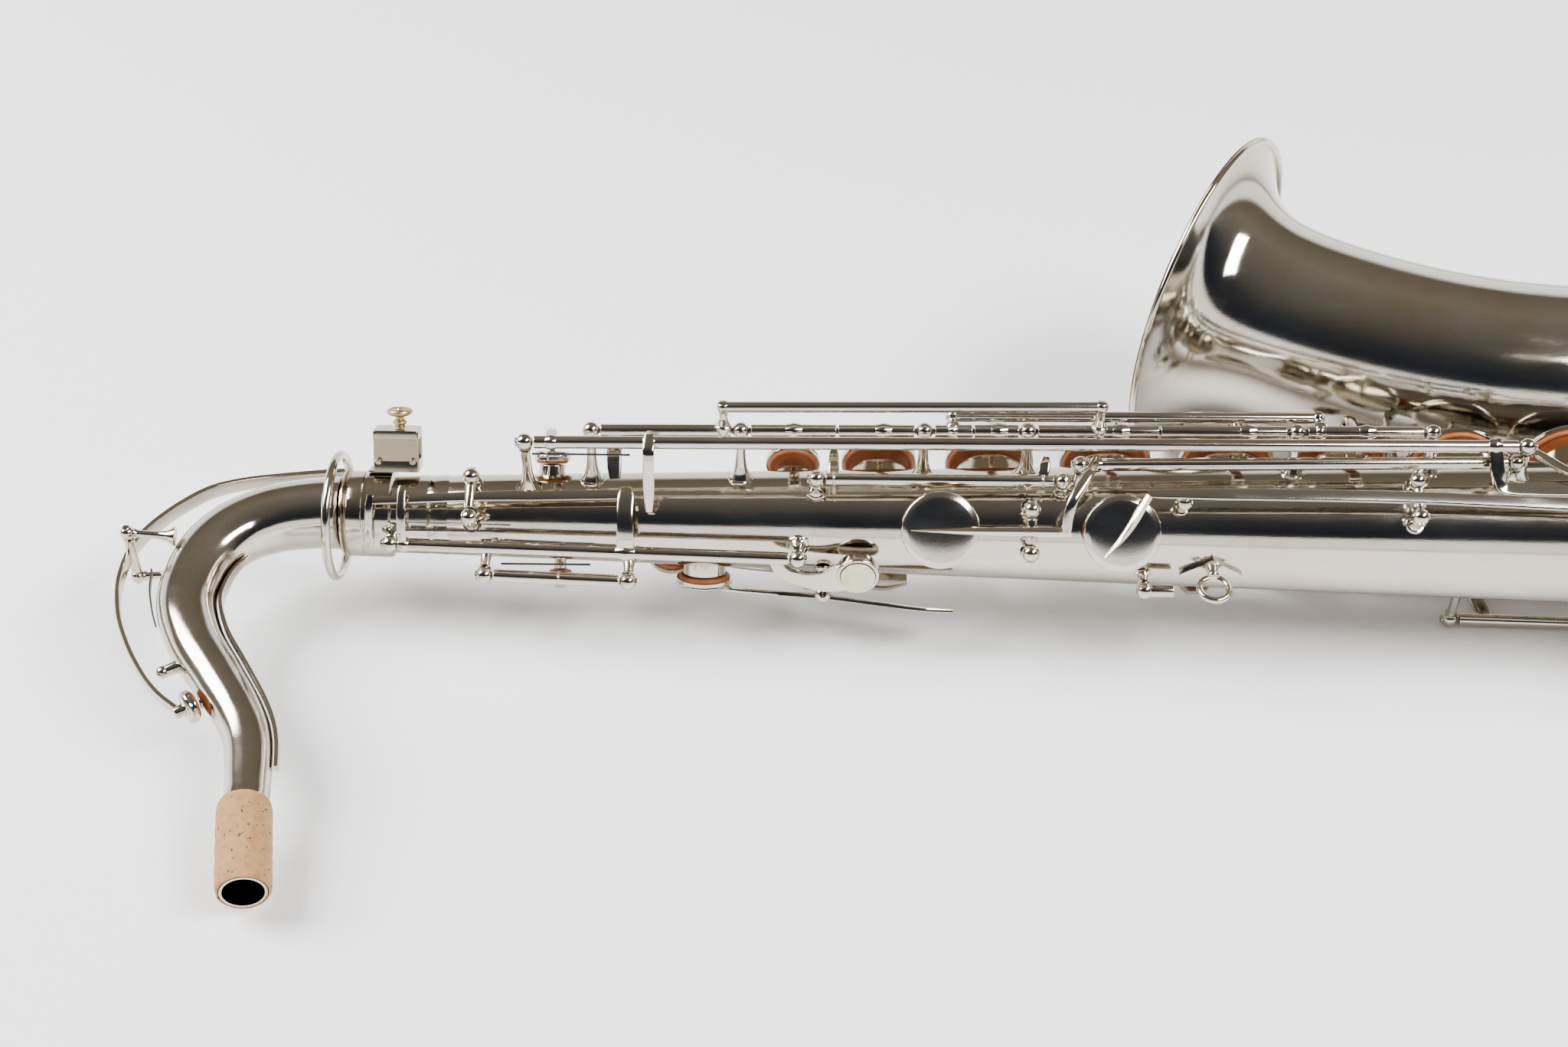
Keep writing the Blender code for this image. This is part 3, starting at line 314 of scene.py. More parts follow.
def smooth_path(points, steps):
    """Catmull-Rom through 2D points, read at the given lengths along it."""
    pts = [Vector((x, y, 0)) for x, y in points]
    pts = [pts[0] * 2 - pts[1]] + pts + [pts[-1] * 2 - pts[-2]]
    dense = []
    for i in range(1, len(pts) - 2):
        p0, p1, p2, p3 = pts[i - 1:i + 3]
        for k in range(24):
            t = k / 24
            dense.append(0.5 * (2 * p1 + (p2 - p0) * t + (2 * p0 - 5 * p1 + 4 * p2 - p3) * t * t
                                + (3 * p1 - p0 - 3 * p2 + p3) * t ** 3))
    dense.append(pts[-2])
    lengths = [0]
    for a, b in zip(dense, dense[1:]):
        lengths.append(lengths[-1] + (b - a).length)
    out = []
    k = 0
    for s in steps:
        s = min(max(s, 0), lengths[-1])
        while k > 0 and lengths[k] > s:
            k -= 1
        while k < len(lengths) - 2 and lengths[k + 1] < s:
            k += 1
        t = (s - lengths[k]) / (lengths[k + 1] - lengths[k])
        out.append(dense[k].lerp(dense[k + 1], t))
    return out, lengths[-1]


def merged(shapes):
    """Several closed shapes as one bmesh."""
    whole = bmesh.new()
    for shape in shapes:
        mesh = bpy.data.meshes.new("shape")
        shape.to_mesh(mesh)
        shape.free()
        whole.from_mesh(mesh)
        bpy.data.meshes.remove(mesh)
    return whole


def opened(shapes, line, degrees):
    """Turns the shapes about their hinge line."""
    way = (line[1] - line[0]).normalized()
    about = Matrix.Rotation(radians(degrees), 4, way)
    turn = Matrix.Translation(line[0]) @ about @ Matrix.Translation(-line[0])
    for bm in shapes:
        bmesh.ops.transform(bm, matrix=turn, verts=bm.verts)
    return shapes


# ---------------------------------------------------------------- the table of places

# Tone holes in the body: name: (X, phi, radius of the rim, radius of the cup)
HOLES = {
    "high_e": (51, 130, 4.6, 6.6),
    "vent": (54, -52, 2.2, 5.0),
    "palm_f": (70, -145, 6.6, 9.0),
    "palm_eb": (105, -62, 7.6, 10.0),
    "palm_d": (93, -104, 7.0, 9.4),
    "c": (136, 180, 7.4, 9.8),
    "b": (167, 180, 11.0, 13.5),
    "a": (207, 180, 13.4, 16.0),
    "g": (249, 180, 13.9, 16.5),
    "f_sharp": (293, 180, 14.3, 17.0),
    "f": (334, 180, 14.8, 17.5),
    "e": (377, 180, 15.6, 18.4),
    "d": (419, 180, 16.6, 19.5),
    "side_c": (186.8, 38, 10.6, 13.5),
    "side_bb": (249, 38, 10.6, 13.4),
    "g_sharp": (270.5, -130, 9.6, 12.2),
    "low_eb": (470, 165, 15.4, 18.0),
    "low_c": (590, 140, 14.4, 17.0),
}

# Tone holes in the bell's left side: name: (X, Y, radius of the rim, radius of the cup)
BELL_HOLES = {
    "low_bb": (440, 81.0, 21.0, 24.0),
    "low_b": (503, 81.3, 20.0, 23.0),
    "low_cs": (588, 82.9, 17.0, 20.0),
}

# Hinge lines of the keys that turn on rods along the body
STACK_LINE = (Vector((65.8, 7.8, 34.2)), Vector((357, 9.6, 37.2)))
UPPER = (STACK_LINE[0], STACK_LINE[0].lerp(STACK_LINE[1], 0.5192))
LOWER = (UPPER[1], STACK_LINE[1])
LEFT_STACK = (Vector((356, 9, -34)), Vector((440, 10, -36.5)))
HIGH_E = (Vector((43.9, -2.85, 37.9)), Vector((387.3, 0.9, 39.3)))
SIDE_C = (Vector((235, -1.4, 29.8)), Vector((384.8, 0, 32.6)))
TRILL = (Vector((144, -5.3, 25.0)), Vector((229, -5.3, 25.6)))
THUMB = (at(-3, 16, 22), at(138, 13.5, 26.5))
VENT = (at(29.2, -9, 26), at(79, -14, 26.3))
G_SHARP = (Vector((246, 14, -34)), Vector((298, 14.5, -35)))
LOW_NOTES = (Vector((378, 0, -45.6)), Vector((560, 0, -50.5)))
LOW_CS = (Vector((560, 0, -50.5)), Vector((622, 0, -51.1)))
TABLE = (Vector((306, 24, -38)), Vector((578, 24, -42)))
LONE_POST = at(258.5, -10, 28)
LOW_C = (Vector((430, 13, 36)), Vector((608, 15, 41.5)))
LOW_EB = (Vector((430, -2, 38.5)), Vector((502, -1.5, 41)))

STACK_POSTS = [(UPPER, 0), (UPPER, 0.3426), (UPPER, 0.7632), (LOWER, 0), (LOWER, 0.664), (LOWER, 1)]
END_POSTS = [LEFT_STACK, HIGH_E, SIDE_C, TRILL, THUMB, VENT, G_SHARP, LOW_NOTES, TABLE, LOW_C, LOW_EB]

# Rocking keys: their pivot lies across the body. name: (X, phi, R of the pivot, half the width between heads)
ROCKERS = {
    "octave_lever": (24.6, 61, 21.5, 7.4),
    "side_c_lever": (218, 38, 25.6, 7.6),
    "side_bb_key": (350, 64, 30.5, 6.6),
    "palm_eb_key": (147, -45, 26.0, 6.0),
    "palm_d_key": (142, -95, 26.5, 6.0),
    "palm_f_key": (128, -133, 27.0, 6.0),
}


def along(line, t):
    return line[0] + (line[1] - line[0]) * t


def on_line(line, x):
    return along(line, (x - line[0].x) / (line[1].x - line[0].x))


OPEN = 7.0                # how far a stack key stands open, in degrees

# Stack keys: name: (hole, hinge line, start and end of its tube)
STACK = {
    "key_c": ("c", UPPER, 121.2, 150.6),
    "key_b": ("b", UPPER, 151.4, 177.6),
    "key_a": ("a", UPPER, 198.4, 213.6),
    "key_g": ("g", LOWER, 220.4, 262.0),
    "key_f_sharp": ("f_sharp", LOWER, 262.8, 306.2),
    "key_f": ("f", LOWER, 313.6, 353.4),
    "key_e": ("e", LEFT_STACK, 359.6, 397.0),
    "key_d": ("d", LEFT_STACK, 398.0, 436.4),
}


# ---------------------------------------------------------------- materials

def shader_tree(name):
    made = bpy.data.materials.new(name)
    made.use_nodes = True
    tree = made.node_tree
    return made, tree, tree.nodes["Principled BSDF"], tree.nodes.new("ShaderNodeTexCoord").outputs["Object"]


def add(tree, kind, **values):
    """A node with its sockets set by name or by place."""
    made = tree.nodes.new(kind)
    for key, value in values.items():
        if key.startswith("in"):
            made.inputs[int(key[2:])].default_value = value
        else:
            setattr(made, key, value)
    return made


def noise_at(tree, coords, scale, detail=4.0, stretch=None, rough=0.55):
    """A noise pattern on the object's own coordinates. Its place in the tree is returned as a socket."""
    source = coords
    if stretch:
        mapping = add(tree, "ShaderNodeMapping")
        mapping.inputs["Scale"].default_value = stretch
        tree.links.new(coords, mapping.inputs["Vector"])
        source = mapping.outputs["Vector"]
    made = add(tree, "ShaderNodeTexNoise")
    made.inputs["Scale"].default_value = scale
    made.inputs["Detail"].default_value = detail
    made.inputs["Roughness"].default_value = rough
    tree.links.new(source, made.inputs["Vector"])
    return made.outputs["Fac"]


def cells_at(tree, coords, scale):
    made = tree.nodes.new("ShaderNodeTexVoronoi")
    made.inputs["Scale"].default_value = scale
    tree.links.new(coords, made.inputs["Vector"])
    return made.outputs["Distance"]


def ramp(tree, source, stops):
    """Colours or greys along a source socket."""
    made = tree.nodes.new("ShaderNodeValToRGB")
    elements = made.color_ramp.elements
    elements[0].position, elements[0].color = stops[0][0], colour(stops[0][1])
    elements[1].position, elements[1].color = stops[-1][0], colour(stops[-1][1])
    for place, value in stops[1:-1]:
        elements.new(place).color = colour(value)
    tree.links.new(source, made.inputs["Fac"])
    return made.outputs["Color"]


def colour(value):
    return (value, value, value, 1) if isinstance(value, (int, float)) else (*value, 1)


def mixed(tree, factor, a, b, blend="MIX"):
    """Two colours mixed. Each of factor, a and b is a socket or a value."""
    made = tree.nodes.new("ShaderNodeMix")
    made.data_type = "RGBA"
    made.blend_type = blend
    for socket, value in ((made.inputs["Factor"], factor), (made.inputs[6], a), (made.inputs[7], b)):
        if isinstance(value, tuple):
            socket.default_value = (*value, 1)
        elif isinstance(value, (int, float)):
            socket.default_value = value
        else:
            tree.links.new(value, socket)
    return made.outputs[2]


def bumps(tree, shader, heights):
    """Adds (height socket, depth in metres, strength) bumps, one on the other."""
    normal = None
    for height, depth, strength in heights:
        made = tree.nodes.new("ShaderNodeBump")
        made.inputs["Distance"].default_value = depth
        made.inputs["Strength"].default_value = strength
        tree.links.new(height, made.inputs["Height"])
        if normal:
            tree.links.new(normal, made.inputs["Normal"])
        normal = made.outputs["Normal"]
    tree.links.new(normal, shader.inputs["Normal"])


def nickel(name, tone=(0.53, 0.50, 0.45), wear=0.5, smooth=0.06, swirl=False):
    """Old nickel plate: fine scratches, cloudy tarnish, and brass showing where it has worn through."""
    made, tree, shader, coords = shader_tree(name)
    cloud = noise_at(tree, coords, 38, 5, rough=0.6)
    blotch = noise_at(tree, coords, 95, 6, rough=0.7)
    speck = noise_at(tree, coords, 900, 3)
    edge = ramp(tree, tree.nodes.new("ShaderNodeNewGeometry").outputs["Pointiness"],
                [(0.515, 0.0), (0.58, 1.0)])
    warm = tuple(c * k for c, k in zip(tone, (0.93, 0.86, 0.74)))
    base = mixed(tree, ramp(tree, cloud, [(0.38, 0.0), (0.68, 0.85)]), tone, warm)
    brass = (0.52, 0.40, 0.22)
    worn = mixed(tree, ramp(tree, blotch, [(0.74 - 0.14 * wear, 0.0), (0.80, 0.75)]), base, brass)
    edged = mixed(tree, edge, worn, tuple(c * 1.05 for c in warm))
    pits = ramp(tree, speck, [(0.24, 0.35), (0.33, 1.0)])
    tree.links.new(mixed(tree, 0.55, edged, pits, "MULTIPLY"), shader.inputs["Base Color"])
    haze = noise_at(tree, coords, 55, 6, stretch=(0.5, 1.6, 1.6))
    rough = ramp(tree, haze, [(0.3, smooth), (0.62, smooth + 0.07), (0.8, smooth + 0.2)])
    tree.links.new(rough, shader.inputs["Roughness"])
    shader.inputs["Metallic"].default_value = 1.0
    lines = noise_at(tree, coords, 60, 3, stretch=(60, 2.0, 60) if swirl else (1.2, 45, 45))
    cross = noise_at(tree, coords, 70, 2, stretch=(40, 40, 1.5))
    dents = noise_at(tree, coords, 22, 2)
    bumps(tree, shader, [(dents, 0.0012, 0.06), (lines, 0.00003, 0.3), (cross, 0.00003, 0.2),
                         (speck, 0.00003, 0.15)])
    return made


def cork(name):
    made, tree, shader, coords = shader_tree(name)
    grain = noise_at(tree, coords, 420, 8, rough=0.7)
    pits = noise_at(tree, coords, 620, 1, stretch=(1, 0.8, 1))
    cells = cells_at(tree, coords, 1500)
    base = ramp(tree, grain, [(0.30, (0.27, 0.125, 0.042)), (0.5, (0.36, 0.18, 0.065)),
                              (0.72, (0.41, 0.225, 0.09))])
    holes = ramp(tree, pits, [(0.27, 1.0), (0.31, 0.0)])
    tree.links.new(mixed(tree, holes, base, (0.05, 0.02, 0.008)), shader.inputs["Base Color"])
    shader.inputs["Roughness"].default_value = 0.85
    shader.inputs["Sheen Weight"].default_value = 0.1
    depth = ramp(tree, pits, [(0.25, 0.0), (0.32, 1.0)])
    bumps(tree, shader, [(depth, 0.0006, 0.9), (grain, 0.0002, 0.6), (cells, 0.0001, 0.4)])
    return made


def leather(name):
    made, tree, shader, coords = shader_tree(name)
    patch = noise_at(tree, coords, 110, 5)
    grain = cells_at(tree, coords, 2600)
    base = ramp(tree, patch, [(0.3, (0.17, 0.042, 0.010)), (0.52, (0.27, 0.075, 0.018)),
                              (0.75, (0.33, 0.10, 0.028))])
    tree.links.new(base, shader.inputs["Base Color"])
    tree.links.new(ramp(tree, patch, [(0.3, 0.62), (0.7, 0.42)]), shader.inputs["Roughness"])
    shader.inputs["Specular IOR Level"].default_value = 0.4
    bumps(tree, shader, [(patch, 0.0006, 0.5), (grain, 0.00008, 0.5)])
    return made


def pearl(name):
    made, tree, shader, coords = shader_tree(name)
    bands = noise_at(tree, coords, 190, 3, stretch=(1, 2.5, 1))
    base = ramp(tree, bands, [(0.3, (0.50, 0.53, 0.27)), (0.5, (0.60, 0.60, 0.36)),
                              (0.7, (0.66, 0.60, 0.42))])
    tree.links.new(base, shader.inputs["Base Color"])
    shader.inputs["Roughness"].default_value = 0.22
    shader.inputs["Coat Weight"].default_value = 0.8
    shader.inputs["Coat Roughness"].default_value = 0.06
    shader.inputs["Subsurface Weight"].default_value = 0.1
    bumps(tree, shader, [(bands, 0.0001, 0.3)])
    return made


def plain_metal(name, tone, stain, rough):
    """A bare metal with stains: blued steel or brass."""
    made, tree, shader, coords = shader_tree(name)
    patch = noise_at(tree, coords, 240, 6, rough=0.7)
    tree.links.new(ramp(tree, patch, [(0.35, tone), (0.65, stain)]), shader.inputs["Base Color"])
    tree.links.new(ramp(tree, patch, [(0.3, rough), (0.75, rough + 0.2)]), shader.inputs["Roughness"])
    shader.inputs["Metallic"].default_value = 1.0
    fine = noise_at(tree, coords, 1500, 3)
    bumps(tree, shader, [(patch, 0.0002, 0.3), (fine, 0.00004, 0.3)])
    return made


LOOKS = {
    "nickel": nickel("nickel_body"),
    "bell": nickel("nickel_bell", (0.56, 0.53, 0.48), 0.35, 0.04),
    "keys": nickel("nickel_keys", (0.55, 0.525, 0.48), 0.6, 0.07),
    "dull": nickel("nickel_dull", (0.34, 0.305, 0.25), 0.9, 0.2),
    "cups": nickel("nickel_cups", (0.58, 0.555, 0.51), 0.4, 0.07, swirl=True),
    "brass": plain_metal("worn_brass", (0.46, 0.33, 0.14), (0.36, 0.27, 0.15), 0.25),
    "steel": plain_metal("blued_steel", (0.035, 0.04, 0.06), (0.10, 0.085, 0.08), 0.3),
    "cork": cork("cork"),
    "leather": leather("pad_leather"),
    "pearl": pearl("pearl"),
}


# ---------------------------------------------------------------- pieces

def body_of(node):
    return next(body for body, nodes in BODIES.items() if node in nodes)


def piece(name, shapes, look, body=None, node=None, sharp=35):
    """A visible piece, laid down in metres, that rides on a body and may stand for a CAD node."""
    bm = merged(shapes)
    bmesh.ops.transform(bm, matrix=LYING @ Matrix.Scale(MM, 4), verts=bm.verts)
    mesh = bpy.data.meshes.new(name)
    bm.to_mesh(mesh)
    bm.free()
    mesh.shade_smooth()
    mesh.set_sharp_from_angle(angle=radians(sharp))
    mesh.materials.append(LOOKS[look])
    obj = bpy.data.objects.new(name, mesh)
    bpy.context.scene.collection.objects.link(obj)
    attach(obj, body or body_of(node))
    if node:
        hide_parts(node)
    return obj


def stand_in(node, shapes, look, sharp=35):
    """The fine piece in place of a CAD node."""
    return piece(node + "_look", shapes, look, node=node, sharp=sharp)


def screw_head(centre, direction, r=1.55, high=0.55):
    """A slotted head: two half rounds with the slot between them on a thin disc."""
    place = facing(Vector(centre), direction)
    shapes = [turned(rounded([(0, 0), (r, 0), (r, high * 0.45), (0, high * 0.45)], 0.1), centre, direction,
                     SLIM)]
    for side in (1, -1):
        outline = [Vector((0.24 * side, -r * 0.96, 0))]
        outline += [Vector((max(r * cos(t), 0.24) * side, r * sin(t), 0))
                    for t in (radians(-75 + 150 * i / 10) for i in range(11))]
        outline.append(Vector((0.24 * side, r * 0.96, 0)))
        rings = [[place @ (p * k + Vector((0, 0, h))) for p in outline]
                 for h, k in ((high * 0.3, 1.0), (high * 0.85, 1.0), (high, 0.93))]
        shapes.append(loft(rings))
    return shapes


def surface_r(x):
    """The radius that a post stands on."""
    return max(body_r(x), SOCKET_R if x < SOCKET_END else 0)


def post(head, foot_phi=None, skirt=4.6, waist=1.45):
    """A turned post with a flared foot, a bead under its head and a round head."""
    head = Vector(head)
    out = Vector((0, head.y, head.z)).normalized() if foot_phi is None else radial(foot_phi)
    height = head.dot(out)
    side = (head - out * height - Vector((head.x, 0, 0))).length
    surface = (surface_r(head.x) ** 2 - side ** 2) ** 0.5
    tall = height - surface
    skirt = min(skirt, max(tall * 0.45, 2.6))
    profile = [(0, -0.6), (skirt, -0.6), (skirt, 0.1), (skirt - 0.25, 0.45)]
    steps = 10
    for i in range(steps + 1):
        h = 0.6 + (tall - 3.9) * i / steps
        r = waist + (skirt - waist - 0.5) * exp(-h / (tall * 0.16 + 0.4)) + 0.25 * (i / steps) ** 2
        profile.append((r, h))
    neck_h = tall - 3.0
    profile += [(waist + 0.75, neck_h - 0.15), (waist + 0.85, neck_h + 0.2), (waist + 0.6, neck_h + 0.5),
                (0, neck_h + 0.5)]
    foot = head - out * tall
    return [turned(profile, foot, out, 28), ball(head, pole=out, sides=28)]


def line_posts(line, ends=(True, True)):
    """The posts at a line's ends, with the slotted heads of the screws it turns on."""
    way = (line[1] - line[0]).normalized()
    shapes = []
    for end, direction, wanted in ((line[0], -way, ends[0]), (line[1], way, ends[1])):
        if wanted:
            shapes += post(end)
            shapes += screw_head(end + direction * (BALL_R - 0.35), direction)
    return shapes


def chimney(place, out, r, height, sink):
    """A tone hole's short wall with a softened rim, open inside."""
    profile = rounded([(r, -sink), (r + 0.05, height), (r - 1.1, height), (r - 1.1, -sink)], 0.35)
    return turned(profile, place, out, ROUND, closed=True)


def body_tube():
    groove, lip = 0.16, 0.9
    outer = [(body_r(BODY_END), BODY_END)]
    outer += [(body_r(x), x) for x in range(620, 20, -20)]
    for x in (15.6, 8.4):
        outer += [(body_r(x), x + 0.5), (body_r(x) - groove, x + 0.2), (body_r(x) - groove, x - 0.2),
                  (body_r(x), x - 0.5)]
    outer += [(body_r(SOCKET_END) + 0.1, SOCKET_END + 0.6), (SOCKET_R - 0.2, SOCKET_END - 0.2),
              (SOCKET_R, SOCKET_END - 0.8), (SOCKET_R, -13.2), (SOCKET_R - 0.3, -13.5),
              (SOCKET_R - 0.3, -14.1), (SOCKET_R, -14.4), (SOCKET_R, SOCKET_START + lip),
              (SOCKET_R - 0.35, SOCKET_START + 0.15), (SOCKET_R - 0.8, SOCKET_START)]
    inner = [(SOCKET_BORE, SOCKET_START), (SOCKET_BORE, 2.0), (body_r(BODY_END) - WALL, BODY_END)]
    shapes = [turned(outer + inner, (0, 0, 0), (1, 0, 0), FINE, closed=True)]
    for x, phi, r, _ in HOLES.values():
        low = (body_r(x) ** 2 - r ** 2) ** 0.5 - 0.5
        shapes.append(chimney(at(x, phi, low), radial(phi), r, body_r(x) + CHIMNEY - low, 0.4))
    for line, t in STACK_POSTS:
        shapes += post(along(line, t))
    for line in END_POSTS:
        shapes += line_posts(line)
    shapes += line_posts(LOW_CS, (False, True)) + post(LONE_POST)
    shapes.append(cone(LONE_POST, LONE_POST + Vector((10, 0, 0)), TUBE_R, chamfer=0.4))
    for name, (x, phi, r, half) in ROCKERS.items():
        for side in (-1, 1):
            end = at(x, phi, r) + around(phi) * side * half
            shapes += post(end, phi, skirt=3.2)
            shapes += screw_head(end + around(phi) * side * (BALL_R - 0.35), around(phi) * side, 1.4)
    shapes += post(at(270, 61, 27.5), skirt=3.6)
    stand_in("body_tube", shapes, "nickel")


def bell_radius(s, length):
    """The outside of the bell, s along its path from the rim."""
    return 38.6 - (38.6 - BOW_END_R) * (s / length) ** 0.8 + BELL_FLARE * exp(-s / BELL_FLARE_LENGTH)


def bell():
    length = smooth_path(BELL_PATH, [0])[1]
    steps = [0.7 * i ** 1.45 for i in range(70) if 0.7 * i ** 1.45 < length] + [length]
    points = smooth_path(BELL_PATH, steps)[0]
    shapes = [shell(points, [bell_radius(s, length) - (0.25 if s == 0 else 0) for s in steps], WALL, 160)]
    tangent = (points[1] - points[0]).normalized()
    rim_r = bell_radius(0, length)
    shapes.append(torus(points[0] + tangent * 1.1, tangent, rim_r - 1.5, 1.25, 160, 16))
    for x, y, r, _ in BELL_HOLES.values():
        low = (BELL_SIDE_R ** 2 - r ** 2) ** 0.5 - 2
        shapes.append(chimney((x, y, -low), (0, 0, -1), r, BELL_SIDE_R + CHIMNEY - low, 0.5))
    stand_in("bell", shapes, "bell", 50)


def bow():
    turns = 64
    points = [Vector((BOW_START, 0, 0)), Vector((BOW_TURN, 0, 0))]
    points += [Vector((BOW_TURN + BOW_R * sin(pi * i / turns), BOW_R - BOW_R * cos(pi * i / turns), 0))
               for i in range(1, turns)]
    points += [Vector((BOW_TURN, 2 * BOW_R, 0)), Vector((BOW_START, 2 * BOW_R, 0))]
    start = body_r(BODY_END)
    radii = [start + (BOW_END_R - start) * i / (len(points) - 1) for i in range(len(points))]
    stand_in("bow", [shell(points, radii, WALL, 96)], "nickel")
    for name, y, r in (("body_bow_ring", 0, start), ("bell_bow_ring", 2 * BOW_R, BOW_END_R)):
        profile = rounded([(r + 2.4, 640.2), (r + 2.4, 636.4), (r + 1.7, 635.8), (r + 1.7, 630.9),
                           (r + 2.4, 630.3), (r + 2.4, 626.5), (r + 0.7, 626.5), (r + 0.7, 640.2)], 0.6)
        stand_in(name, [turned(profile, (0, y, 0), (1, 0, 0), 96, closed=True)], "keys")


def neck_radius(s, length):
    """The outside of the neck tube, straight where the cork goes."""
    return NECK_R[0] + (NECK_R[1] - NECK_R[0]) * min(s / (length - NECK_STRAIGHT), 1)


def neck():
    length = smooth_path(NECK_PATH, [0])[1]
    steps = [length * i / 120 for i in range(121)]
    points = smooth_path(NECK_PATH, steps)[0]
    shapes = [shell(points, [neck_radius(s, length) for s in steps], 0.8, 80)]
    for side in (-1, 1):
        foot, head = Vector((-76.5, -22.3, side * 9.2)), Vector((-92.8, -22.3, side * 10.6))
        way = (head - foot).normalized()
        tall = (head - foot).length
        profile = [(0, 0), (3.4, 0), (3.2, 0.8), (1.9, 2.6), (1.35, 6), (1.3, tall - 3.6), (1.9, tall - 2.6),
                   (1.5, tall - 2.0), (0, tall - 2.0)]
        shapes += [turned(profile, foot, way, 28), ball(head, 2.5, way, 28)]
        shapes += screw_head(head + Vector((0, 0, side * 2.25)), (0, 0, side), 1.2)
    shapes += [cone((-61, -70.5, 0), (-71, -76.5, 0), 3.0, 1.9, 28, 0.6),
               ball((-71.5, -76.8, 0), 2.2, (-1, -0.6, 0), 28),
               cone((-50, -86, 0), (-57, -90, 0), 2.6, 2.2, 28)]
    stand_in("neck_tube", shapes, "nickel")
    profile = rounded([(TENON_R, 1), (TENON_R, -21.9), (11.3, -21.9), (11.3, 1)], 0.3)
    stand_in("neck_tenon", [turned(profile, (0, 0, 0), (1, 0, 0), 96, closed=True)], "brass")
    cork_piece(length)
    brace_steps = [length * (0.22 + 0.55 * i / 40) for i in range(41)]
    path = []
    for s in brace_steps:
        before, middle, after = smooth_path(NECK_PATH, [s - 3, s - 1, s + 1])[0]
        tangent = (after - before).normalized()
        path.append(middle + Vector((-tangent.y, tangent.x, 0)) * (neck_radius(s, length) + 1.25))
    stand_in("neck_brace", [strip_bar(path, [2.5 + 4.5 * sin(pi * i / 40) for i in range(41)], 1.6)], "keys")


def cork_piece(length):
    """The cork sleeve, slightly uneven, with softened ends."""
    count, sides = 40, 96
    steps = [length - CORK_LENGTH * (1 - i / count) for i in range(count + 1)]
    points = smooth_path(NECK_PATH, steps)[0]
    inner_r = NECK_R[1] + 0.35

    def radius(i, k):
        end = min(i, count - i) * CORK_LENGTH / count
        soft = 0.7 * exp(-end / 0.8)
        wave = noise.noise(Vector((i * 0.35, cos(2 * pi * k / sides) * 2.2, sin(2 * pi * k / sides) * 2.2)))
        return CORK_R - 0.22 - soft + 0.18 * wave

    outer = []
    for i, ring in enumerate(circle_rings(points, [1.0] * (count + 1), sides)):
        outer.append([points[i] + (p - points[i]) * radius(i, k) for k, p in enumerate(ring)])
    inner = circle_rings(points, [inner_r] * (count + 1), sides)
    stand_in("neck_cork", [loft(outer + inner[::-1], joined=True)], "cork", 60)


def lyre_holder():
    """The block that takes a music lyre, with its thumb screw."""
    box_out, box_side = radial(LYRE_PHI), around(LYRE_PHI)
    outline = [(-8, -5), (8, -5), (8, 5), (-8, 5)]

    def soft_square(r, k=1.0, steps=6, corner=0.8):
        ring = []
        for n, (a, b) in enumerate(outline):
            sa, sb = (1 if a > 0 else -1), (1 if b > 0 else -1)
            for i in range(steps + 1):
                t = radians(90 * n + 180 + 90 * i / steps)
                ring.append(at(LYRE_X, LYRE_PHI, r) + Vector(((a - sa * corner + corner * cos(t)) * k, 0, 0))
                            + box_side * (b - sb * corner + corner * sin(t)) * k)
        return ring

    lower = loft([soft_square(16.4), soft_square(20.0), soft_square(20.3, 0.97)])
    upper = loft([soft_square(27.7, 0.97), soft_square(28.0), soft_square(30.6), soft_square(31.0, 0.97)])
    walls = [bar([at(LYRE_X, LYRE_PHI, 20) + box_side * s, at(LYRE_X, LYRE_PHI, 28) + box_side * s],
                 [15.8, 15.8], 1.6, up=box_side, tip=1)
             for s in (-4.1, 4.1)]
    flange = bar([at(-13, LYRE_PHI, 16.1), at(4, LYRE_PHI, 16.1)], [9, 9], 0.9)
    tabs = [cone(at(x, LYRE_PHI, 20.2) - box_side * 5, at(x, LYRE_PHI, 20.2) - box_side * 6.4, 1.1, sides=16)
            for x in (-9, 3)]
    stand_in("lyre_holder", [lower, upper, flange] + walls + tabs, "dull")
    place = at(-2, LYRE_PHI, 31.3)
    profile = [(0, 0), (1.7, 0), (1.7, 1.2), (2.4, 1.5), (2.4, 2.4), (1.5, 2.9), (1.5, 3.9), (3.3, 4.4),
               (4.4, 5.0), (4.6, 5.7), (4.3, 6.4), (3.6, 6.7), (3.3, 6.4), (1.2, 6.3), (0.8, 7.0), (0, 7.3)]
    stand_in("lyre_screw", [turned(rounded(profile, 0.25), place, box_out, ROUND)], "brass")


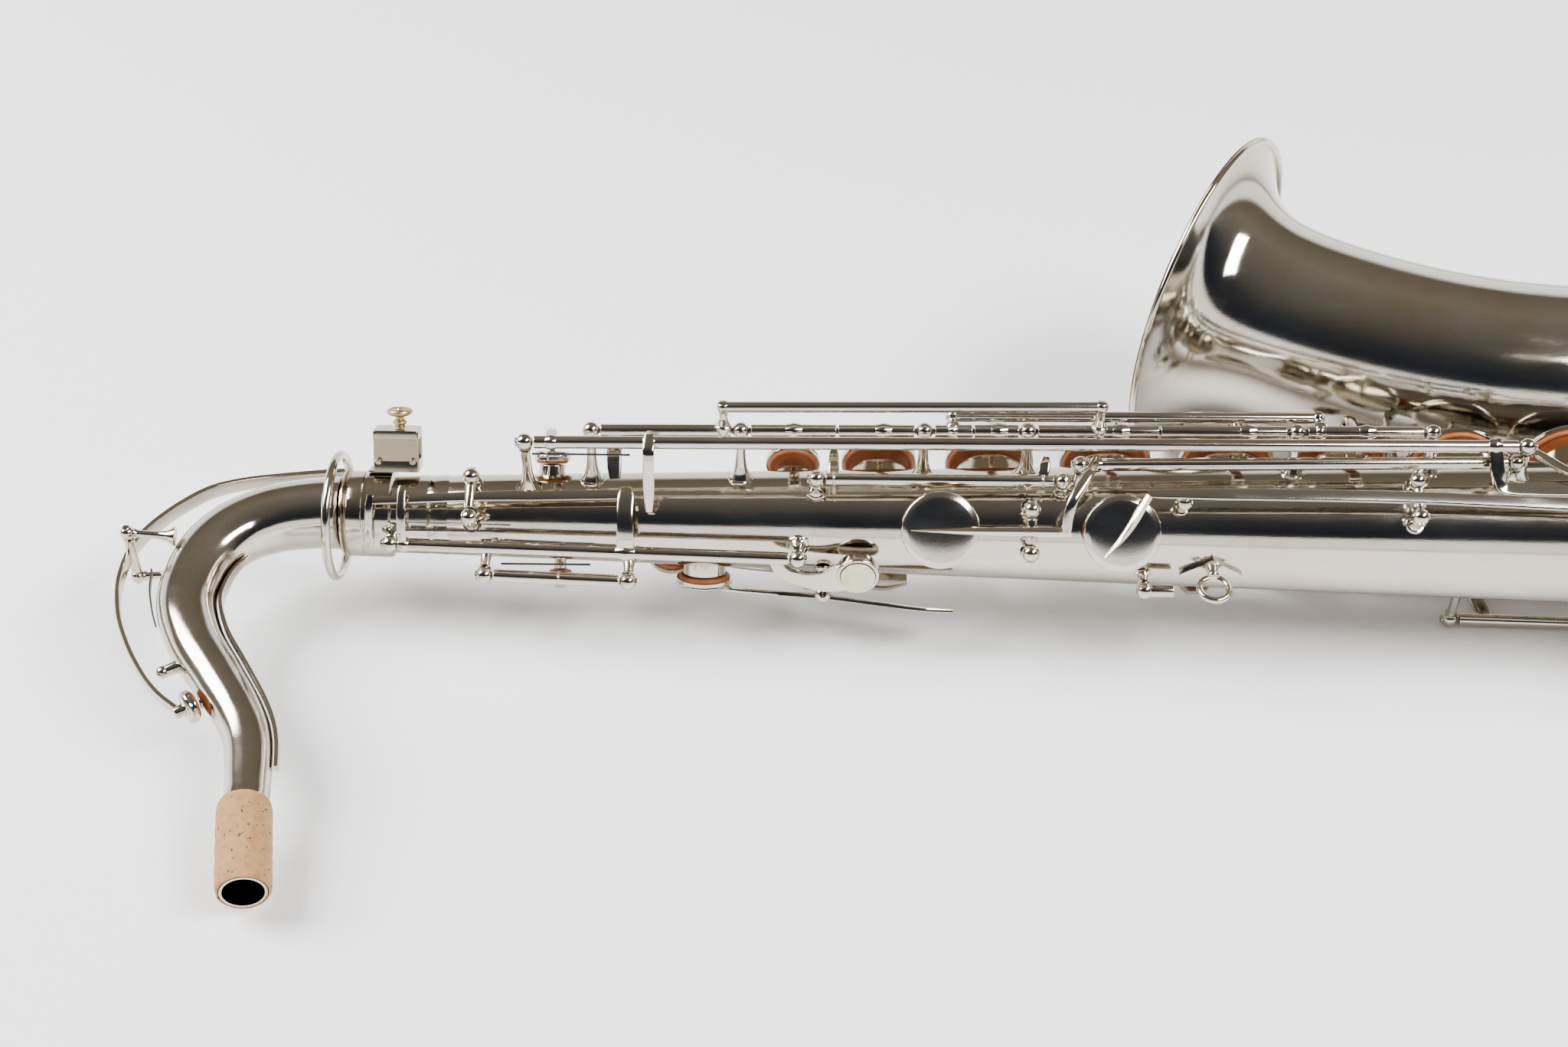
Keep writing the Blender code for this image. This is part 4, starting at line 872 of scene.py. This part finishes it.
def fittings():
    """Strap ring, thumb hook, brace, guard wire and the stacks' steel rods."""
    ring = torus((281.5, -31.5, 0.4), (0, -0.06, 1), 5.05, 1.25, 64)
    outline = [(270.6, -3.4), (272.6, -3.6), (275.0, -1.2), (278.0, 0.2), (281.5, 0.8), (285.0, 0.2),
               (288.0, -1.2), (290.4, -3.6), (292.4, -3.4), (290.4, 0.6), (287.6, 4.6), (284.6, 8.6),
               (282.8, 12.4), (281.5, 15.2), (280.2, 12.4), (278.4, 8.6), (275.4, 4.6), (272.6, 0.6)]
    plate = loft([[at(x, phi, r) for x, phi in outline] for r in (21.6, 22.9, 23.3)])
    eye = turned(rounded([(0, 0), (2.9, 0), (2.3, 1.6), (1.9, 3.4), (2.2, 4.6), (1.6, 5.6), (0, 5.8)], 0.5),
                 at(281.5, 4, 22.0), radial(2.5), 28)
    stand_in("strap_ring", [plate, eye, ring], "keys")
    hook = [bar([at(451, 4, 27.2), at(471, 4, 27.8)], [11, 11], 1.6),
            bar([at(461, 4, 27.5), at(461, 4, 36), at(458, 12, 42), at(452, 28, 44)], [8, 8, 8, 7], 2.2,
                up=(1, 0, 0.1))]
    stand_in("thumb_hook", hook, "keys")
    brace = bar([(355, y, 0) for y in (24.2, 34, 46, 55.6)], [10, 5, 5, 12], 2.4, up=(1, 0, 0))
    stand_in("bell_brace", [brace], "keys")
    guard = wire([(411, 83, -37.4), (411, 83, -52), (418, 83, -57.8), (523, 82, -59.4), (530, 82, -54),
                  (530, 82, -36.4)], 1.9, 20)
    stand_in("bell_key_guard", [guard], "keys")
    for name, line, lead in (("upper_stack_rod", UPPER, (-2, -0.6)), ("lower_stack_rod", LOWER, (0.6, 2.2))):
        way = (line[1] - line[0]).normalized()
        stand_in(name, [cone(line[0] + way * lead[0], line[1] + way * lead[1], ROD_R, chamfer=0.2)], "steel")


# ---------------------------------------------------------------- keys

def cup(hole):
    x, phi, _, r = HOLES[hole]
    return cup_at(at(x, phi, body_r(x) + CHIMNEY + GAP), radial(phi), r)


def cup_at(face, out, r, solid=True):
    """A pad cup: a shallow dome with a bead round its edge and a turned lip."""
    top = CUP_HEIGHT
    dome = 0.35 + r * 0.015
    profile = [(0, top + dome - 0.2)]
    profile += [(r * 0.9 * sin(radians(a)), top - 0.5 + (dome + 0.3) * cos(radians(a)))
                for a in range(12, 91, 13)]
    profile += [(r - 0.55, top - 0.75), (r - 0.15, top - 1.05), (r, top - 1.5), (r - 0.12, top - 1.9),
                (r - 0.12, PAD_PROUD + 0.7), (r, PAD_PROUD + 0.35), (r - 0.1, PAD_PROUD),
                (r - CUP_WALL, PAD_PROUD + 0.05)]
    profile += [(r - CUP_WALL, PAD_THICK + GAP), (0, PAD_THICK + GAP)]
    if solid:
        LOOSE_PADS.append((face, out, r))
    return turned(profile, face, out, 72)


LOOSE_PADS = []           # pads of the cups whose pad has no node of its own


def pad_at(face, out, r):
    """A leather pad with a puffed edge and the tone hole's ring pressed into it."""
    pr = r - CUP_WALL - 0.12
    seat = r - 2.5
    profile = [(0, PAD_THICK), (pr - 0.2, PAD_THICK), (pr, 2.4), (pr + 0.1, 1.4), (pr - 0.05, 0.7),
               (pr - 0.5, 0.22), (pr - 1.0, 0.08), (seat + 0.45, 0.1), (seat, 0.32), (seat - 0.5, 0.1),
               (seat * 0.6, 0.04), (1.8, 0.06), (1.6, 0.0), (0, 0.0)]
    return turned(profile, face, out, 72)


def hinge_tube(line, x0=None, x1=None):
    """The tube a key turns on, from post to post of its line unless told otherwise."""
    x0 = line[0].x + BALL_R + GAP if x0 is None else x0
    x1 = line[1].x - BALL_R - GAP if x1 is None else x1
    return cone(on_line(line, x0), on_line(line, x1), TUBE_R, sides=32, chamfer=0.25)


def collar(line, x, r=2.75, wide=1.1):
    """A bead round a hinge tube, where an arm is soldered on."""
    way = (line[1] - line[0]).normalized()
    return turned(rounded([(0, 0), (TUBE_R, 0), (r, wide * 0.5), (TUBE_R, wide), (0, wide)], 0.3),
                  on_line(line, x) - way * wide / 2, way, 28)


def key_piece(node, shapes, line=None, degrees=0.0, look="keys"):
    """A key's metal, and the pads of its cups as pieces on the same body."""
    pads = [pad_at(*place) for place in LOOSE_PADS]
    LOOSE_PADS.clear()
    if degrees:
        opened(shapes, line, degrees)
        opened(pads, line, degrees)
    stand_in(node, shapes, look)
    if pads:
        piece(node + "_pad", pads, "leather", body=body_of(node))


def stack_arm(hole, line, x_hinge):
    """The arm from the hinge tube round to the middle of the cup."""
    x, _, _, r = HOLES[hole]
    side = 1 if line[0].z > 0 else -1
    top = body_r(x) + CHIMNEY + GAP + CUP_HEIGHT
    start = on_line(line, x_hinge)
    points = [start, Vector((x, 12, side * 28.5)), Vector((x, 18, side * (r + 8) if r > 14 else side * 23)),
              Vector((x, top - 0.6, side * (r + 3.6))), Vector((x, top + 0.9, side * (r - 1.5))),
              Vector((x, top + 0.8, side * -2))]
    return bar(points, [5.0, 4.6, 4.4, 4.0, 3.6, 2.0], 2.0, roof=0.5)


def bridge(far_line, far_x, far_lift, near_line, near_x, near_lift):
    """A rod beside the stack, carried by an arm at each end, with round ends."""
    far = on_line(far_line, far_x) + Vector(far_lift)
    near = on_line(near_line, near_x) + Vector(near_lift)
    way = (near - far).normalized()
    shapes = [cone(far - way * 1.6, near + way * 1.6, 1.95, sides=28, chamfer=0.3)]
    for end, line, x in ((far, far_line, far_x), (near, near_line, near_x)):
        root = on_line(line, x)
        rise = end - root
        tall = rise.length
        profile = [(0, 0), (2.9, 0), (2.9, 2.3), (2.2, 2.9), (1.5, tall * 0.55), (1.6, tall - 1.6),
                   (2.4, tall - 0.6), (2.4, tall + 0.9), (1.7, tall + 1.9), (0, tall + 2.0)]
        shapes.append(turned(rounded(profile, 0.4), root, rise, 28))
        shapes.append(collar(line, x, 3.0, 3.6))
    shapes += screw_head(far - way * 1.5, -way, 1.2, 0.4) + screw_head(near + way * 1.5, way, 1.2, 0.4)
    return shapes


def stack_keys():
    for name, (hole, line, x0, x1) in STACK.items():
        x, phi, _, r = HOLES[hole]
        right = line is not LEFT_STACK
        face = at(x, phi, body_r(x) + CHIMNEY + GAP)
        arm_x = min(max(x, x0 + 3), x1 - 3)
        shapes = [hinge_tube(line, x0, x1), collar(line, arm_x, 2.9, 6.0),
                  cup_at(face, radial(phi), r, solid=False),
                  stack_arm(hole, line, arm_x)]
        if name == "key_g":
            shapes += [hinge_tube(UPPER, 69.2, 114.2),
                       bar([on_line(UPPER, 74), (74, -1, 28.6), (74.5, -6.5, 25.2)], [6, 5, 5], 1.8)]
            shapes += bridge(UPPER, 111.6, (0, 2.3, 9.6), LOWER, 241.5, (0, 2.6, 9.8))
        if name == "key_f":
            shapes += [hinge_tube(UPPER, 184.8, 197.6)]
            shapes += bridge(UPPER, 191, (0, 6.1, 0.9), LOWER, 318, (0, 6.4, 0.2))
        angle = OPEN if right else -OPEN
        stand_in(name, opened(shapes, line, angle), "keys")
        stand_in("pad_" + name[4:], opened([pad_at(face, radial(phi), r)], line, angle), "leather", 50)


def long_keys():
    shapes = [hinge_tube(HIGH_E), cup("high_e"), collar(HIGH_E, 53, wide=4), collar(HIGH_E, 86.5, 2.9, 4.4),
              collar(HIGH_E, 376, 2.9, 5),
              bar([on_line(HIGH_E, 53), (52, 9, 33), (51, 18, 24), at(51, 130, body_r(51) + 8.2)],
                  [4, 4, 3.4, 2.4], 2.0),
              bar([on_line(HIGH_E, 86.5) + Vector((0, 1, 2.6)), on_line(HIGH_E, 86.5) + Vector((0, -6, 0)),
                   at(86.5, 66, 27.5), at(86.5, 50, 21)], [4, 4, 4, 3], 1.8),
              bar([on_line(HIGH_E, 376) + Vector((0, 1, 2.4)), (377, -6, 33), (379, -8.4, 28.6),
                   (384, -8.8, 28.3), (412, -9.2, 29.2), (440, -9.6, 29.8), (449, -9.8, 30)],
                  [5, 5, 5.6, 6, 7, 7, 5], 2.0)]
    key_piece("high_e_key", shapes)

    shapes = [hinge_tube(SIDE_C), collar(SIDE_C, 240.4, wide=4), collar(SIDE_C, 378, wide=4.4),
              bar([on_line(SIDE_C, 240.4) + Vector((0, 0.5, 2.2)), at(236, 72, 33.2), at(231, 58, 33.6),
                   at(229.5, 46, 31.2), at(229.5, 38, 30.4)], [3.6, 3.6, 3.6, 3.6, 3.6], 2.0, roof=0.4),
              bar([on_line(SIDE_C, 378) + Vector((0, 1, 0)), (382, 5.6, 33.4), (390, 5.6, 33.8),
                   (396, 0, 33.6), (402, -6.4, 33.6), (430, -8, 33.8), (452, -8, 34), (462, -9, 34),
                   (484, -10, 34)],
                  [4.4, 3.4, 3.4, 3.4, 3.4, 3.4, 4, 11, 8], 2.0, up=(0, 0, 1))]
    key_piece("side_c_key", shapes)

    shapes = [hinge_tube(TRILL), collar(TRILL, 222), collar(TRILL, 150),
              bar([on_line(TRILL, 222) + Vector((0, 0, 1)), (222.5, -2, 29), (223, 1, 31)], [4, 4, 3.4], 1.8),
              bar([on_line(TRILL, 150), (150, 2, 27.6), (150, 8, 27.2)], [4, 3.6, 3], 1.8)]
    key_piece("trill_lever", shapes)


def octave_keys():
    seat = turned(rounded([(0, 2.0), (6.0, 2.0), (6.2, 2.7), (7.2, 2.7), (7.5, 1.9), (7.5, -1.4), (6.6, -2.2),
                           (0, -2.2)], 0.5),
                  at(158.8, 1, 26), radial(6), 64)
    shapes = [hinge_tube(THUMB), collar(THUMB, 1.8, 2.9, 4), collar(THUMB, 78.5, 3.0, 7),
              bar([on_line(THUMB, 1.6), at(1.6, 26, 25.2), at(1.6, 44, 25.8), at(1.6, 60, 25.6),
                   at(1.6, 66, 25.4)],
                  [3, 3, 3, 3, 3], 1.8),
              bar([on_line(THUMB, 78.5), at(78.5, 26, 26), at(78.5, 44, 25.6), at(78.5, 60, 25),
                   at(78.5, 69, 24.6)],
                  [6, 6, 5.6, 5.6, 5], 1.8),
              bar([on_line(THUMB, 129.6), (133, -27.6, 0.8), (141, -28, -1.8), (148, -28, -2.5),
                   (158.8, -26, 0.5)],
                  [5, 5, 6, 9, 15], 2.2, up=(0, -1, 0.1)), seat]
    stand_in("thumb_key", shapes, "keys")
    dome = [(6.0 * sin(radians(a)), 0.3 + 1.7 * cos(radians(a))) for a in range(15, 91, 15)]
    dome = [(0, 2.0)] + dome + [(5.9, 0), (0, 0)]
    stand_in("thumb_pearl", [turned(dome, at(158.8, 1, 28.5), radial(6), 64)], "pearl")

    shapes = [hinge_tube(VENT), cup("vent"), collar(VENT, 55),
              bar([on_line(VENT, 55), (55, -22, -13), at(54, -52, body_r(54) + 8.0)], [4, 3.6, 3], 1.8),
              bar([on_line(VENT, 38), at(38, -24, 24.5)], [8, 9], 1.8)]
    key_piece("vent_key", shapes)


def rocker(name, points, widths, thick, roof=0.0):
    x, phi, r, half = ROCKERS[name]
    centre, side = at(x, phi, r), around(phi)
    reach = half - BALL_R - GAP
    return [bar(points, widths, thick, roof=roof),
            cone(centre - side * reach, centre + side * reach, 1.9, sides=24)]


def rocker_keys():
    shapes = rocker("octave_lever", [at(-9, 56, 21.4), at(24.6, 61, 21.9), at(77, 66, 21.2)], [3.6, 3.2, 5.0],
                    1.8)
    shapes.append(bar([at(-10, 62, 20.8), at(-10.6, 46, 19.4), at(-10.8, 30, 18.6), at(-10.8, 16, 18.3),
                       at(-10.6, 4, 18.6)], [2.8, 2.8, 2.8, 2.8, 2.6], 1.8))
    key_piece("octave_lever", shapes)

    top = body_r(186.8) + CHIMNEY + GAP + CUP_HEIGHT
    points = [at(176.5, 38, top + 0.1), at(197, 38, top + 0.5), at(218, 38, 26.9), at(231.5, 38, 26.9)]
    shapes = rocker("side_c_lever", points, [0.7, 2.8, 3.6, 4.2], 2.0, roof=0.7)
    key_piece("side_c_lever", shapes + [cup("side_c")], look="cups")

    top = body_r(249) + CHIMNEY + GAP + CUP_HEIGHT
    points = [at(256.6, 63, 32.8), at(300, 64, 32.4), at(350, 64, 31.6), at(400, 60, 33), at(430, 58, 34.6),
              at(446, 57, 35.4)]
    shapes = rocker("side_bb_key", points, [4, 4.4, 4.4, 4.6, 6, 5], 2.0)
    shapes += [bar([at(243, 22, top + 0.2), at(250, 38, top + 0.6), at(257.5, 62, 32.8)], [0.8, 2.8, 3.6],
                   2.0, roof=0.8),
               cup("side_bb")]
    key_piece("side_bb_key", shapes, look="cups")

    palm = (("palm_eb_key", "palm_eb", [(122, 25.6), (147, 26.9), (165, 29), (180, 31), (193, 31.5)],
             [3, 3.6, 6, 13, 7]),
            ("palm_d_key", "palm_d", [(120, 26), (142, 27.6), (156, 30), (168, 32), (178, 32.4)],
             [3, 3.6, 6, 12, 6]),
            ("palm_f_key", "palm_f", [(100, 26), (128, 28), (142, 31), (154, 33), (164, 33.4)],
             [3, 3.6, 5, 9, 5]))
    for name, hole, route, widths in palm:
        x, cup_phi, _, _ = HOLES[hole]
        _, phi, _, _ = ROCKERS[name]
        top = body_r(x) + CHIMNEY + GAP + CUP_HEIGHT
        points = [at(x, cup_phi, top + 0.4)] + [at(px, phi, r) for px, r in route]
        key_piece(name, rocker(name, points, [2.4] + widths, 2.0) + [cup(hole)])


def low_keys():
    shapes = [hinge_tube(G_SHARP), cup("g_sharp"),
              bar([on_line(G_SHARP, 270.5), at(270.5, -122, 32.5), at(270.5, -130, body_r(270.5) + 8.2)],
                  [5, 4, 3], 2.0),
              bar([on_line(G_SHARP, 284), (284, 8, -37.5), (284, 3, -37)], [8, 12, 9], 2.0, up=(0, 0, -1))]
    key_piece("g_sharp_key", shapes)

    shapes = [hinge_tube(LOW_EB), cup("low_eb"), collar(LOW_EB, 470, wide=5), collar(LOW_EB, 439, wide=6),
              bar([on_line(LOW_EB, 470), (470, 6, 30.5), (470, 18, 29.6), (470, 28.5, 25), (470, 34.2, 16),
                   at(470, 165, body_r(470) + 8.3)], [5, 4.6, 4.4, 4.4, 4, 3], 2.2),
              bar([on_line(LOW_EB, 439), (439, -8, 41), (439, -15, 40.5)], [9, 13, 9], 2.0, up=(0, 0, 1))]
    key_piece("low_eb_key", shapes)

    shapes = [hinge_tube(LOW_C), cup("low_c"), collar(LOW_C, 590, wide=5), collar(LOW_C, 452, wide=6),
              bar([on_line(LOW_C, 590), (590, 24, 36.5), (590, 28.5, 29), at(590, 140, body_r(590) + 8.3)],
                  [5, 4.4, 4, 3], 2.2),
              bar([on_line(LOW_C, 452), (452, 20, 40), (452, 30, 42.5), (452, 38, 42.5)], [8, 10, 13, 8], 2.0,
                  up=(0, 0, 1))]
    key_piece("low_c_key", shapes, LOW_C, 6.7)

    top = -BELL_SIDE_R - CHIMNEY - GAP - CUP_HEIGHT - 0.4
    for name, hole, line, x0, x1 in (("low_bb_key", "low_bb", LOW_NOTES, None, 470),
                                     ("low_b_key", "low_b", LOW_NOTES, 471, None),
                                     ("low_c_sharp_key", "low_cs", LOW_CS, None, None)):
        x, y, _, r = BELL_HOLES[hole]
        shapes = [hinge_tube(line, x0, x1), collar(line, x, wide=6),
                  cup_at((x, y, -BELL_SIDE_R - CHIMNEY - GAP), (0, 0, -1), r),
                  bar([on_line(line, x), (x, 22, top - 1), (x, 48, top - 0.6), (x, y, top)], [6, 5.4, 5, 3],
                      2.4, up=(0, 0, -1))]
        if hole == "low_bb":
            shapes.append(bar([on_line(line, 392), (390, 14, -46), (386, 32, -44.5), (372, 42, -43.5),
                               (358, 46, -43), (352, 54, -43)], [6, 6, 6, 7, 13, 9], 2.0, up=(0, 0, -1)))
        if hole == "low_b":
            shapes += [bar([on_line(line, 476), (476, 16, -48), (476, 30, -46.5), (476, 32, -40)],
                           [5, 5, 5, 5], 2.2, up=(0, 0, -1)),
                       cone((338, 32, -38), (478, 32, -38.5), 1.7),
                       bar([(341, 32, -38.2), (338, 40, -39.5), (336, 52, -40)], [6, 12, 9], 2.0,
                           up=(0, 0, -1))]
        if hole == "low_cs":
            shapes.append(bar([on_line(line, 570.5), (570.5, 8, -49.9), (570.5, 14, -49.6)], [5, 5, 5], 2.0,
                              up=(0, 0, -1)))
        is_open = hole != "low_cs"
        key_piece(name, shapes, line, -3.8 if is_open else 0.0)

    shapes = [hinge_tube(TABLE), collar(TABLE, 318, wide=6), collar(TABLE, 571, wide=4),
              bar([on_line(TABLE, 318), (318, 34, -40.5), (318, 44, -41)], [8, 12, 9], 2.0, up=(0, 0, -1)),
              bar([on_line(TABLE, 571), (571, 17, -46), (571, 10, -46.8)], [5, 5, 5], 2.2, up=(0, 0, -1))]
    key_piece("low_c_sharp_lever", shapes)


def neck_key():
    tilt = radians(2.4)
    ring = torus((-24.2, -1.2, 0), (cos(tilt), -sin(tilt), 0), 21.4, 1.65, 120, 20)
    strip = [(-22.6, 20.4, 0), (-30, 19.6, 0), (-44, 17.6, 0), (-60, 14.6, 0), (-72, 10, 0), (-82.5, -0.5, 0),
             (-90.5, -12, 0), (-94.2, -24, 0), (-94.6, -38, 0), (-91, -54, 0), (-84, -69, 0), (-76.5, -81, 0),
             (-70.4, -88, 0), (-62.9, -93.9, 0)]
    widths = [4.4, 5, 5, 5.4, 5.8, 6, 6, 6, 5.6, 5.2, 4.8, 4.4, 4.0, 3.6]
    down = Vector((0.83, 0.56, 0)).normalized()
    face = Vector((-57.4, -90.2, 0))
    shapes = [strip_bar(strip, widths, 1.8), ring, cup_at(face - down * 0.3, -down, 5.6, solid=False),
              cone(face - down * 4.0, face - down * 8.2, 2.4, 1.9),
              cone((-92.8, -22.3, -7.6), (-92.8, -22.3, 7.6), 1.9)]
    stand_in("neck_octave_key", shapes, "keys")
    stand_in("pad_neck", [pad_at(face - down * 0.3, -down, 5.6)], "leather", 50)
    spring = strip_bar([(-84.6, -30, 0), (-83.4, -40, 0), (-80.4, -50, 0), (-78, -56, 0)], [2.6, 2.4, 2, 1.6],
                       0.6)
    stand_in("neck_flat_spring", [spring], "steel")


def springs():
    """The needle spring of the side B flat key, and those of three longer keys."""
    stand_in("side_bb_spring", [wire([at(274, 61.5, 28.4), at(282, 62.5, 28.8), at(292, 64, 28.6)], 0.45)],
             "steel")
    needles = [wire([Vector((x, y + n * 0.3, z - n * 0.2)) for n, x in enumerate((a, (a + b) / 2, b))], 0.38)
               for a, b, y, z in ((46.5, 80, -5.2, 34.6), (1, 37, -17.8, 9.6), (35, 66, -22.8, -1.2))]
    piece("needle_springs", needles, "steel", body="body")


# ---------------------------------------------------------------- room

def floor():
    bm = bmesh.new()
    bmesh.ops.create_grid(bm, x_segments=2, y_segments=2, size=6)
    mesh = bpy.data.meshes.new("floor")
    bm.to_mesh(mesh)
    bm.free()
    made, _, shader, _ = shader_tree("floor_paper")
    shader.inputs["Base Color"].default_value = (0.92, 0.92, 0.925, 1)
    shader.inputs["Roughness"].default_value = 0.75
    shader.inputs["Specular IOR Level"].default_value = 0.2
    mesh.materials.append(made)
    obj = bpy.data.objects.new("floor", mesh)
    bpy.context.scene.collection.objects.link(obj)


def softbox(name, place, target, size, power):
    light = bpy.data.lights.new(name, "AREA")
    light.shape = "RECTANGLE"
    light.size, light.size_y = size
    light.energy = power
    obj = bpy.data.objects.new(name, light)
    obj.location = place
    obj.rotation_euler = (Vector(target) - Vector(place)).to_track_quat("-Z", "Y").to_euler()
    bpy.context.scene.collection.objects.link(obj)


def room():
    """Pale near both horizons, dark overhead, and two softboxes, so that the metal has something to show."""
    world = bpy.data.worlds.new("studio")
    world.use_nodes = True
    bpy.context.scene.world = world
    tree = world.node_tree
    coords = tree.nodes.new("ShaderNodeTexCoord").outputs["Generated"]
    parts = tree.nodes.new("ShaderNodeSeparateXYZ")
    tree.links.new(coords, parts.inputs[0])
    turn = add(tree, "ShaderNodeMath", operation="ARCTAN2")
    tree.links.new(parts.outputs["Z"], turn.inputs[0])
    tree.links.new(parts.outputs["Y"], turn.inputs[1])
    share = add(tree, "ShaderNodeMath", operation="DIVIDE", in1=pi)
    tree.links.new(turn.outputs[0], share.inputs[0])
    sky = ramp(tree, share.outputs[0], [
        (0.0, 1.0), (0.13, 0.9), (0.18, (0.095, 0.078, 0.06)), (0.40, (0.14, 0.122, 0.10)),
        (0.60, (0.085, 0.078, 0.07)), (0.75, (0.025, 0.026, 0.03)), (0.85, (0.012, 0.015, 0.022)),
        (0.895, (0.02, 0.022, 0.026)), (0.92, 0.9), (1.0, 1.0)])
    tree.links.new(sky, tree.nodes["Background"].inputs["Color"])
    tree.nodes["Background"].inputs["Strength"].default_value = 2.2
    softbox("left_light", (-1.9, 0.1, 1.6), (0, 0, 0), (1.2, 1.6), 150)
    softbox("right_light", (1.05, -0.55, 1.55), (0.1, 0, 0), (1.4, 0.5), 75)


def camera():
    """The eye stands to the player's back, 44 degrees above the instrument's middle plane."""
    eye = Vector((133.06, -595.56, 576.89))
    elevation, roll = radians(44.18), radians(0.86)
    ahead = Vector((0, cos(elevation), -sin(elevation)))
    right, up = Vector((1, 0, 0)), Vector((0, sin(elevation), cos(elevation)))
    right, up = right * cos(roll) + up * sin(roll), up * cos(roll) - right * sin(roll)
    data = bpy.data.cameras.new("camera")
    data.sensor_width = 36
    data.lens = 3060 / 2048 * 36
    data.clip_start = 0.01
    obj = bpy.data.objects.new("camera", data)
    turn = LYING.to_3x3()
    basis = Matrix((turn @ right, turn @ up, turn @ -ahead)).transposed().to_4x4()
    obj.matrix_world = Matrix.Translation(lay(eye)) @ basis
    bpy.context.scene.collection.objects.link(obj)
    bpy.context.scene.camera = obj


def main():
    global LYING
    LYING = lying_matrix()
    camera()
    room()
    floor()
    body_tube()
    bow()
    bell()
    neck()
    lyre_holder()
    fittings()
    stack_keys()
    long_keys()
    octave_keys()
    rocker_keys()
    low_keys()
    neck_key()
    springs()


main()
